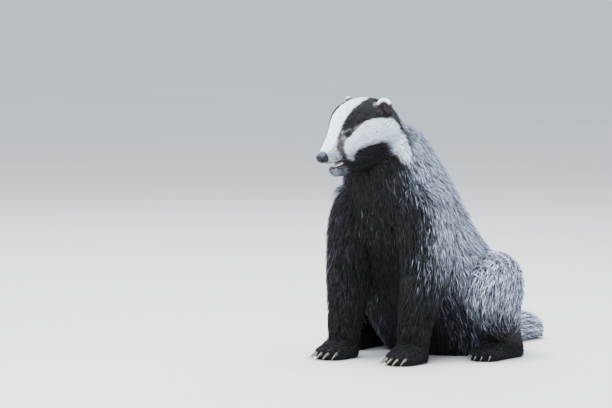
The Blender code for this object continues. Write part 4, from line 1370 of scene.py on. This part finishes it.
def coat_piece(name, groups, coat):
    """One mesh of tufts, from groups of (points, colours, places, flat)."""
    points, colours, faces, maps = [], [], [], []
    start = 0
    low = np.min([group[2].min(0) for group in groups], 0)
    high = np.max([group[2].max(0) for group in groups], 0)
    for spots, tones, places, flat in groups:
        count, each = spots.shape[:2]
        pattern = tuft_faces(each // 3)
        made = pattern[None] + (np.arange(count) * each)[:, None, None]
        fitted = stepped(UV_MARGIN, (places - low) / (high - low))
        spread = np.clip(fitted[:, None] + flat, *UV_LIMITS)
        maps.append(spread.reshape(-1, 2)[made.reshape(-1)])
        faces.append(made.reshape(-1, 3) + start)
        points.append(spots.reshape(-1, 3))
        colours.append(tones.reshape(-1, 3))
        start += count * each
    points, colours, faces = np.concatenate(points), np.concatenate(colours), np.concatenate(faces)
    mesh = bpy.data.meshes.new(name)
    mesh.vertices.add(len(points))
    mesh.vertices.foreach_set("co", points.ravel())
    mesh.loops.add(3 * len(faces))
    mesh.loops.foreach_set("vertex_index", faces.ravel())
    mesh.polygons.add(len(faces))
    mesh.polygons.foreach_set("loop_start", np.arange(len(faces)) * 3)
    mesh.update(calc_edges=True)
    mesh.shade_smooth()
    painted(mesh, colours)
    layer = mesh.uv_layers.new(name="OFBake")
    layer.data.foreach_set("uv", np.concatenate(maps).ravel())
    mesh.materials.append(coat)
    return linked(name, mesh)


def painted(mesh, colours):
    layer = mesh.color_attributes.new(PAINTED, "FLOAT_COLOR", "POINT")
    layer.data.foreach_set("color", np.concatenate([colours, np.ones((len(colours), 1))], 1).ravel())


def unwrapped(obj):
    """Unfolds the skin flat, and returns the place of each corner of its triangles."""
    bpy.ops.object.select_all(action="DESELECT")
    bpy.context.view_layer.objects.active = obj
    obj.select_set(True)
    obj.data.uv_layers.new(name="OFBake")
    bpy.ops.object.mode_set(mode="EDIT")
    bpy.ops.mesh.select_all(action="SELECT")
    bpy.ops.uv.smart_project(angle_limit=math.radians(UNWRAP_ANGLE), island_margin=UNWRAP_GAP)
    bpy.ops.object.mode_set(mode="OBJECT")
    return read(obj.data.uv_layers["OFBake"].data, "uv", 2)


PAINTED = "coat"  # the colours kept at the mesh's own points


def hair_look(roughness, grain):
    return PAINTED, roughness, 0.14, 0, 0.12, ("Noise", grain, 0.35, 0.0005)


# Each material: PAINTED, one colour, or a scale and the two tones that the colour wanders between;
# roughness, specular level, clear coat and its roughness; relief: texture, scale, strength, distance
LOOKS = {
    "hair_head": hair_look(0.55, 2400),
    "hair_body": hair_look(0.50, 1600),
    "hair_tail": hair_look(0.50, 1600),
    "hair_legs": hair_look(0.50, 2000),
    "skin_and_underfur": hair_look(0.70, 1200),
    "nose_leather": (PAINTED, 0.48, 0.14, 0.05, 0.12, ("Voronoi", 1500, 0.6, 0.0003)),
    "lip_skin": (
        (500, (0.010, 0.009, 0.010), (0.026, 0.022, 0.023)),
        *(0.48, 0.14, 0.05, 0.12, ("Noise", 1800, 0.4, 0.0003)),
    ),
    "lid_skin": (PAINTED, 0.50, 0.20, 0, 0.12, ("Noise", 2200, 0.5, 0.0003)),
    "tongue_flesh": (
        (300, (0.46, 0.30, 0.30), (0.66, 0.58, 0.58)),
        *(0.30, 0.50, 0.4, 0.12, ("Voronoi", 2200, 0.5, 0.0002)),
    ),
    "claw_horn": (
        (260, (0.050, 0.042, 0.034), (0.16, 0.135, 0.105)),
        *(0.36, 0.50, 0.1, 0.12, ("Noise", 900, 0.3, 0.0003)),
    ),
    "eye_ball": (PAINTED, 0.15, 0.10, 0.22, 0.03, None),
    "whisker": ((0.03, 0.03, 0.03), 0.50, 0.50, 0, 0.12, None),
    "floor": ((1.5, (0.445, 0.425, 0.395), (0.465, 0.445, 0.415)), 0.85, 0.50, 0, 0.12, None),
}
SHADER_INPUTS = ("Roughness", "Specular IOR Level", "Coat Weight", "Coat Roughness")
TONE_STOPS = (0.32, 0.68)
RELIEF_OUTPUT = {"Noise": "Fac", "Voronoi": "Distance"}


def material(name):
    """The material that LOOKS gives under a name."""
    tones, *values, relief = LOOKS[name]
    made = bpy.data.materials.new(name)
    made.use_nodes = True
    tree = made.node_tree
    shader = tree.nodes["Principled BSDF"]
    for field, value in zip(SHADER_INPUTS, values):
        shader.inputs[field].default_value = value
    place = tree.nodes.new("ShaderNodeTexCoord").outputs["Object"]

    def node(kind, **inputs):
        added = tree.nodes.new("ShaderNode" + kind)
        for field, value in inputs.items():
            added.inputs[field].default_value = value
        return added

    if tones == PAINTED:
        paint = node("Attribute")
        paint.attribute_name = PAINTED
        tree.links.new(paint.outputs["Color"], shader.inputs["Base Color"])
    elif np.isscalar(tones[1]):
        shader.inputs["Base Color"].default_value = (*tones, 1)
    else:
        cloud, ramp = node("TexNoise", Scale=tones[0], Detail=4.0), node("ValToRGB")
        for stop, tone, element in zip(TONE_STOPS, tones[1:], ramp.color_ramp.elements):
            element.color, element.position = (*tone, 1), stop
        tree.links.new(place, cloud.inputs["Vector"])
        tree.links.new(cloud.outputs["Fac"], ramp.inputs["Fac"])
        tree.links.new(ramp.outputs["Color"], shader.inputs["Base Color"])
    if relief:
        kind, scale, strength, distance = relief
        texture = node("Tex" + kind, Scale=scale)
        bump = node("Bump", Strength=strength, Distance=distance)
        tree.links.new(place, texture.inputs["Vector"])
        tree.links.new(texture.outputs[RELIEF_OUTPUT[kind]], bump.inputs["Height"])
        tree.links.new(bump.outputs["Normal"], shader.inputs["Normal"])
    return made


def tube(name, points, radii, sides):
    """A round tube along the points, with a radius at each."""
    points = np.array(points, float)
    rings = []
    side = None
    for k, radius in enumerate(radii):
        way = unit(points[min(k + 1, len(points) - 1)] - points[max(k - 1, 0)])
        if side is None:
            side = unit(np.cross(way, UP if abs(way[2]) < 0.9 else BODY_LEFT))
        side = unit(side - way * side.dot(way))
        up = np.cross(way, side)
        turns = np.arange(sides) * 2 * math.pi / sides
        rings.append(points[k] + radius * (np.cos(turns)[:, None] * side + np.sin(turns)[:, None] * up))
    return loft(name, rings)


# The lids, from their opening outwards: sizes of the opening, height over the eyeball or skin,
# and how much grey painted highlight the fold carries
LID_ROWS = (
    (0.95, -0.0006, 0.0),
    (0.98, 0.0003, 0.0),
    (1.05, 0.0009, 0.0),
    (1.14, 0.0011, 0.1),
    (1.24, 0.0008, 0.6),
    (1.34, 0.0010, 1.0),
    (1.48, 0.0011, 0.35),
    (1.62, 0.0008, 0.0),
    (1.80, 0.0003, 0.0),
    (2.00, -0.0006, 0.0),
)
LID_REACH = 0.03  # how far from an eye anything counts as near it
LID_SQUARE = 0.25
LID_SINKS = (1.3, 2.0)  # sizes of the opening between which the lids go over from eyeball to skin
SKIN_STAND = 0.4
# The lower lid keeps little of the painted highlight, and the upper one, facing the light, takes most
LID_LIGHT = (0.08, 0.92)  # how grey the lower lid is, and what the upper one adds
UPPER_LID = (0.0, 0.65)


def eyelids(tree):
    """The lids and their folds, laid over the front of each eyeball and into the skin around it."""
    made, tones = [], []
    for side in (1, -1):
        out, along, across = eye_axes(side)
        rings = []
        for size, stand, grey in LID_ROWS:
            share = float(smooth(size, *LID_SINKS))
            for angle in np.arange(LID_SIDES) * 2 * math.pi / LID_SIDES:
                x = LID_OPENING[0] * size * math.cos(angle)
                y = LID_OPENING[1] * size * math.sin(angle) * abs(math.sin(angle)) ** LID_SQUARE
                foot = eye_centre(side) + along * x + across * y
                touch = tree.ray_cast(foot + out * LID_REACH, -out)[0]
                skin = (np.array(touch) - foot).dot(out) + SKIN_STAND * stand
                ball = math.sqrt(max((EYE_RADIUS + stand) ** 2 - x * x - y * y, 0))
                rings.append(foot + out * (max(ball, skin) * (1 - share) + skin * share))
                # Painted highlight, strongest where the fold faces up
                upper = float(smooth(unit(along * x + across * y).dot(HEAD_UP), *UPPER_LID))
                light = grey * stepped(LID_LIGHT, upper)
                tones.append(np.array(SKIN_DARK) + (np.array(LID_HIGHLIGHT) - SKIN_DARK) * light)
        made.append(mesh_object("lid", rings, bands(len(LID_ROWS), LID_SIDES)))
    lids = joined("eyelids", made)
    painted(lids.data, np.array(tones))
    return lids


CORNEA = (0.0005, 30)  # its height, and its reach in degrees from the middle of the eye
PUPIL_EDGE, IRIS_EDGE = (17, 20), (36, 42)
EYE_TONES = np.array([(0.0085, 0.0050, 0.0035), (0.0015, 0.0015, 0.0015), (0.004, 0.0035, 0.003)])


def eyeball(side, word):
    """A ball with the cornea's bulge, painted with iris, pupil and the dark around them."""
    out, along, across = eye_axes(side)
    obj = ball(f"eyeball_{word}", eye_centre(side), (along, across * side, out), [EYE_RADIUS] * 3, 48, 32)
    co = positions(obj.data)
    turn = np.degrees(np.arccos(np.clip((co - eye_centre(side)) @ out / EYE_RADIUS, -1, 1)))
    co += out * (CORNEA[0] * np.exp(-((turn / CORNEA[1]) ** 2)))[:, None]
    obj.data.vertices.foreach_set("co", co.ravel())
    pupil, around = 1 - smooth(turn, *PUPIL_EDGE), smooth(turn, *IRIS_EDGE)
    painted(obj.data, np.stack([(1 - pupil) * (1 - around), pupil, around], 1) @ EYE_TONES)
    return obj


def lip_line(upper, side):
    """Where a lip runs on its jaw, from the middle of the front to the corner of the mouth."""
    rows, ring_at, way = (SKULL_ROWS, skull_ring, -1) if upper else (JAW_ROWS, jaw_ring, 1)
    first = LIP_FRONT[upper]
    corner = on_side(MOUTH_CORNER, side)
    line = []
    for t in np.linspace(0, 1, LIP_STEPS):
        behind = first + (MOUTH_CORNER[0] - LIP_SHORT - first) * t**LIP_SPREAD
        place = float(np.interp(behind, [row[0] for row in rows], range(len(rows))))
        angle = way * math.radians(90 - LIP_TURN * min(1.0, t / LIP_TURN_SHARE))
        here = on_ring(ring_at(place), angle if side > 0 else math.pi - angle)
        line.append(here + (corner - here) * float(smooth(t, LIP_CORNER_SHARE, 1.0)))
    return line


def lips():
    """The upper and the lower lip, each a soft rim along its jaw from corner to corner."""
    turns = np.linspace(-1, 1, 2 * LIP_STEPS - 1)
    radii = [LIP_THICKNESS * (1 - LIP_THINS * abs(turn) ** 3) for turn in turns]
    made = []
    for upper, name in ((True, "upper_lip"), (False, "lower_lip")):
        made.append(tube(name, lip_line(upper, -1)[:0:-1] + lip_line(upper, 1), radii, 12))
    return joined("lips", made)


# The tongue: behind and above the nose tip, each where it starts and what its length adds;
# half width and half height, with where on the half wave they start and how fast they go along it
TONGUE_BEHIND = (0.0225, 0.026)
TONGUE_ABOVE = (-0.0240, 0.0010)
TONGUE_WIDE = (0.0088, 0.14, 0.60)
TONGUE_HIGH = (0.0026, 0.16, 0.55)
TONGUE_GROOVE = (0.0007, 0.0016)  # deep, half width


def tongue():
    """The tongue, with the groove along its middle."""
    rings = []
    for t in np.linspace(0, 1, 16):
        half, high = (
            size * math.sin(math.pi * min(0.5, stepped(wave, t)))
            for size, *wave in (TONGUE_WIDE, TONGUE_HIGH)
        )
        middle = head_point(stepped(TONGUE_BEHIND, t), 0, stepped(TONGUE_ABOVE, t))
        ring = ring_points((middle, HEAD_LEFT, HEAD_UP, half, high, high), 28)
        sunk = TONGUE_GROOVE[0] * np.exp(-((((ring - middle) @ HEAD_LEFT) / TONGUE_GROOVE[1]) ** 2))
        rings.append(ring - HEAD_UP * sunk[:, None])
    return loft("tongue_flesh", rings)


NOSTRIL_LOOKS = (0.75, 0.66)
NOSTRIL_SIZE = (0.0044, 0.0021, 0.0017)
SLIT_SIZE = (0.0036, 0.0019, 0.0011)
NOSE_GROOVE = ((-0.0003, 0, -0.0078), (0.0022, 0.00045, 0.0052))  # its place and size
NOSE_VOXEL = 0.0004
# How much painted light the nose takes, by how far its surface faces up
NOSE_LIT = (-0.05, 0.90)
NOSE_MOTTLE = 0.2


def nose_pad():
    """The bare leather of the nose with comma-shaped nostrils and a groove below."""
    pad = swept("nose_pad", lambda place: head_ring(*row_at(NOSE_ROWS, place)), len(NOSE_ROWS) - 1, 26, 48)
    for side in (1, -1):
        start, stop = on_side(NOSTRIL_PLACE, side), on_side(NOSTRIL_END, side)
        opening = unit(HEAD_FORWARD * NOSTRIL_LOOKS[0] + HEAD_LEFT * side * NOSTRIL_LOOKS[1])
        axes = (opening, np.cross(HEAD_UP, opening), HEAD_UP)
        boolean(pad, ball("hole", start, axes, NOSTRIL_SIZE, 20, 12))
        back = unit(stop - start)
        outward = unit(HEAD_LEFT * side - back * back.dot(HEAD_LEFT * side))
        axes = (back, outward, np.cross(back, outward))
        boolean(pad, ball("slit", stop, axes, SLIT_SIZE, 20, 12))
    place, size = NOSE_GROOVE
    groove = ball("groove", head_point(*place), (HEAD_FORWARD, HEAD_LEFT, HEAD_UP), size, 16, 12)
    pad = remeshed(boolean(pad, groove), NOSE_VOXEL, 3)
    # Painted light: the nose leather lighter and bluer where it faces up
    light = smooth(read(pad.data.vertices, "normal", 3) @ UP, *NOSE_LIT)
    light *= 1 + NOSE_MOTTLE * ripple(positions(pad.data), "nose")
    painted(pad.data, np.array(SKIN_DARK) + light[:, None] * (np.array(NOSE_PAINTED_LIGHT) - SKIN_DARK))
    return pad


CLAW_START = 0.003  # before the paw's last row
CLAW_SUNK = 0.25  # the share of its length that a claw starts inside the toe
CLAW_BEND = 1.7
CLAW_ARCH = 0.1
CLAW_TAPER = (0.90, 1.4)
CLAW_SPREAD = 0.14
CLAW_SECTION = (0.66, 0.8, 1)  # half width, reach down and reach up, in thicknesses


def claws():
    """Five claws on each foot, which grow from the toes, arch forward and come down to the floor."""
    made = []
    for kind, rows, left in PAWS:
        length, thickness = CLAW[kind]
        front = rows[-1][0] + CLAW_START
        for side in (1, -1):
            for offset, trail in TOE_PLACES:
                rings = []
                for t in np.linspace(-CLAW_SUNK, 1, 12):
                    out = max(t, 0)
                    drop = (CLAW_ROOT_HEIGHT - CLAW_TIP_HEIGHT) * out**CLAW_BEND
                    up = CLAW_ROOT_HEIGHT - drop + CLAW_ARCH * length * t * (1 - t)
                    wide = thickness * (1 - CLAW_TAPER[0] * out ** CLAW_TAPER[1])
                    across = side * (left + offset * (1 + CLAW_SPREAD * t))
                    centre = body_point(front - trail + t * length, across, up)
                    sizes = [share * wide for share in CLAW_SECTION]
                    rings.append(ring_points((centre, BODY_LEFT, UP, *sizes), 14, 2.0))
                made.append(loft("claw", rings))
    return joined("claws", made)


# Whiskers in four columns of three on the muzzle: behind the nose tip, share of the way down, length,
# each with what a step adds; then four hairs of each brow: behind, left, above, with what a step adds
WHISKER_BEHIND, WHISKER_DOWN, WHISKER_LENGTH = (0.017, 0.0045), (0.6, 0.12), (0.020, 0.004)
WHISKER_ROWS = (0.62, 0.42, 0.0006)  # height at the top of the side, fall over it, and chance
WHISKER_INSET = 0.90
WHISKER_TAPER = 0.8
WHISKER_WAY = ((0.75, 1.0), 0.45, (0.05, 0.4))  # to the side, back, down
WHISKER_VARIES = (0.8, 1.2)
WHISKER_SAG = (0.25, 0.15)  # back and down, in lengths
BROW = ((0.048, 0.002), 0.0135, (0.0262, 0.0015))
BROW_WAY = (0.5, 0.5, 0.1)  # to the side, back, and chance
BROW_LENGTH, BROW_SAG = 0.016, 0.004
WHISKER_RADIUS, BROW_RADIUS = 0.00013, 0.00011


def whisker(path_at, steps, radius):
    """One hair along a path, thinner towards its tip."""
    ways = np.linspace(0, 1, steps)
    return tube("whisker", [path_at(t) for t in ways], [radius * (1 - WHISKER_TAPER * t) for t in ways], 4)


def whiskers(random):
    """Stiff single hairs from the muzzle and brows, bent back by their own weight."""
    made = []
    for side in (1, -1):
        for k, n in np.ndindex(4, 3):
            behind, length = stepped(WHISKER_BEHIND, k), stepped(WHISKER_LENGTH, k)
            top, bottom, half = columns(SKULL_ROWS, behind, 1, 2, 3)
            level = WHISKER_ROWS[0] - WHISKER_ROWS[1] * stepped(WHISKER_DOWN, n)
            above = bottom + (top - bottom) * level + random.uniform(-WHISKER_ROWS[2], WHISKER_ROWS[2])
            root = head_point(behind, side * half * WHISKER_INSET, above)
            out, back, down = WHISKER_WAY
            way = HEAD_LEFT * side * random.uniform(*out) - HEAD_FORWARD * back
            way = unit(way - HEAD_UP * random.uniform(*down))
            length *= random.uniform(*WHISKER_VARIES)
            bend = -HEAD_FORWARD * WHISKER_SAG[0] * length - UP * WHISKER_SAG[1] * length
            made.append(whisker(lambda t: root + way * length * t + bend * t * t, 6, WHISKER_RADIUS))
        for k in range(4):
            root = head_point(stepped(BROW[0], k), side * BROW[1], stepped(BROW[2], k))
            out, back, varies = BROW_WAY
            way = HEAD_UP + HEAD_LEFT * side * out - HEAD_FORWARD * back + random.normal(0, varies, 3)
            reach, bend = unit(way) * BROW_LENGTH, -HEAD_FORWARD * BROW_SAG
            made.append(whisker(lambda t: root + reach * t + bend * t * t, 5, BROW_RADIUS))
    return joined("whiskers", made)


# The coat's pieces by region: name, slot and material
REGION_PIECES = {
    HEAD: ("coat_head", "coat_head", "hair_head"),
    BODY: ("coat_body", "coat_body", "hair_body"),
    TAIL: ("coat_tail", "coat_body", "hair_tail"),
    LEG: ("coat_legs", "coat_legs", "hair_legs"),
}


def coats(skin, flat):
    """All the tufts, in pieces of a region each, under the limit of triangles."""
    random = np.random.default_rng(COAT_SEED)
    unwrap = flat[skin.loops]
    chosen, shares = roots(skin, random)
    lengths = np.einsum("ij,ij->i", shares, skin.rows[skin.faces[chosen], LENGTH])
    regions = skin.rows[skin.faces[chosen, 0], REGION].astype(int)
    made = []
    for region, (piece, slot, look) in REGION_PIECES.items():
        inside = regions == region
        hair = material(look)
        groups = []
        for long in (True, False):
            pick = inside & ((lengths > LONG_FROM) == long)
            if pick.sum() > 10:
                groups.append(tufts(skin, unwrap, random, chosen[pick], shares[pick], long))
        total = sum(len(group[0]) * len(tuft_faces(group[0].shape[1] // 3)) for group in groups)
        count = total // PIECE_LIMIT + 1
        for n in range(count):
            part = [cut_group(group, n, count) for group in groups]
            obj = coat_piece(piece + (f"_{n + 1}" if count > 1 else ""), part, hair)
            made.append(obj)
    return made


def cut_group(group, n, count):
    """The n-th share of a group's tufts, from the animal's left to its right."""
    order = np.argsort(group[0][:, 0, 1], kind="stable")
    chosen = order[n * len(order) // count : (n + 1) * len(order) // count]
    return [values[chosen] for values in group]


def make_camera(shift):
    """The camera at the photograph's angle, far off, with the nose where the photograph has it."""
    a, e = VIEW_AZIMUTH, VIEW_ELEVATION
    back = np.array([math.sin(a) * math.cos(e), -math.cos(a) * math.cos(e), math.sin(e)])
    right = np.array([math.cos(a), math.sin(a), 0.0])
    up = np.cross(back, right)
    off_x = (NOSE_PIXEL[0] - IMAGE[0] / 2) / SCALE
    off_y = (IMAGE[1] / 2 - NOSE_PIXEL[1]) / SCALE
    target = NOSE_TIP + shift - right * off_x - up * off_y
    data = bpy.data.cameras.new("camera")
    camera = linked("camera", data)
    data.sensor_width = SENSOR
    data.lens = SENSOR * VIEW_DISTANCE * SCALE / IMAGE[0]
    data.clip_end = 400
    frame = Matrix([[*right], [*up], [*back]]).transposed().to_4x4()
    camera.matrix_world = Matrix.Translation(Vector(target + back * VIEW_DISTANCE)) @ frame
    bpy.context.scene.camera = camera


SKY = (0.72, 0.845, 1.0)
SKY_STRENGTH = 2.0
FLOOR_SIZE = 160
# Each light: place, what it points at, size, power, colour
LIGHTS = {
    "overhead": ((-0.3, 0.2, 3.0), (0, 0, 0.2), 2.6, 410, (0.97, 0.99, 1.0)),
    "front_left": ((-2.4, -1.2, 1.7), (0, 0, 0.25), 1.4, 112, (0.84, 0.93, 1.0)),
    "behind": ((1.6, 2.2, 1.9), (0, 0, 0.2), 1.6, 55, (0.94, 0.97, 1.0)),
}


def area_light(name, place, aim, size, power, colour):
    data = bpy.data.lights.new(name, "AREA")
    data.shape = "DISK"
    data.size = size
    data.energy = power
    data.color = colour
    lamp = linked(name, data)
    lamp.location = place
    lamp.rotation_euler = (Vector(aim) - Vector(place)).to_track_quat("-Z", "Y").to_euler()


def studio():
    """A pale floor under even, cool light that is brightest from above."""
    bpy.ops.mesh.primitive_plane_add(size=FLOOR_SIZE)
    floor = bpy.context.object
    floor.name = "floor"
    dressed(floor, "floor")
    world = bpy.data.worlds.new("studio")
    bpy.context.scene.world = world
    world.use_nodes = True
    back = world.node_tree.nodes["Background"]
    back.inputs["Color"].default_value = (*SKY, 1)
    back.inputs["Strength"].default_value = SKY_STRENGTH
    for name, light in LIGHTS.items():
        area_light(name, *light)


def dressed(obj, look):
    """The object with the material of a name."""
    obj.data.materials.clear()
    obj.data.materials.append(bpy.data.materials.get(look) or material(look))
    return obj


def main():
    removed(*bpy.data.objects)
    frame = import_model()
    low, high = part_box("eye_left")
    shift = (np.array(low) + np.array(high)) / 2 - eye_centre(1)

    parts = skin_parts()
    skin_obj = skin_mesh(parts)
    flat = unwrapped(skin_obj)
    skin = Skin(skin_obj, parts)
    painted(skin_obj.data, skin_colours(skin))
    dressed(skin_obj, "skin_and_underfur")
    flesh = [name for name in frame["nodes"] if name not in ("nose", "tongue", "eye_left", "eye_right")]
    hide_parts(*flesh)
    pieces = [skin_obj, *coats(skin, flat)]

    nose = dressed(nose_pad(), "nose_leather")
    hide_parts("nose")
    mouth = dressed(lips(), "lip_skin")
    lids = dressed(eyelids(skin.tree), "lid_skin")
    lick = dressed(tongue(), "tongue_flesh")
    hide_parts("tongue")
    pieces += [nose, mouth, lids, lick]
    for word, side in (("left", 1), ("right", -1)):
        eye = dressed(eyeball(side, word), "eye_ball")
        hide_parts(f"eye_{word}")
        pieces.append(eye)
    pieces.append(dressed(claws(), "claw_horn"))
    pieces.append(dressed(whiskers(np.random.default_rng(COAT_SEED)), "whisker"))

    for piece in pieces:
        piece.data.transform(Matrix.Translation(Vector(shift)))
        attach(piece, "root")
    studio()
    make_camera(shift)


main()
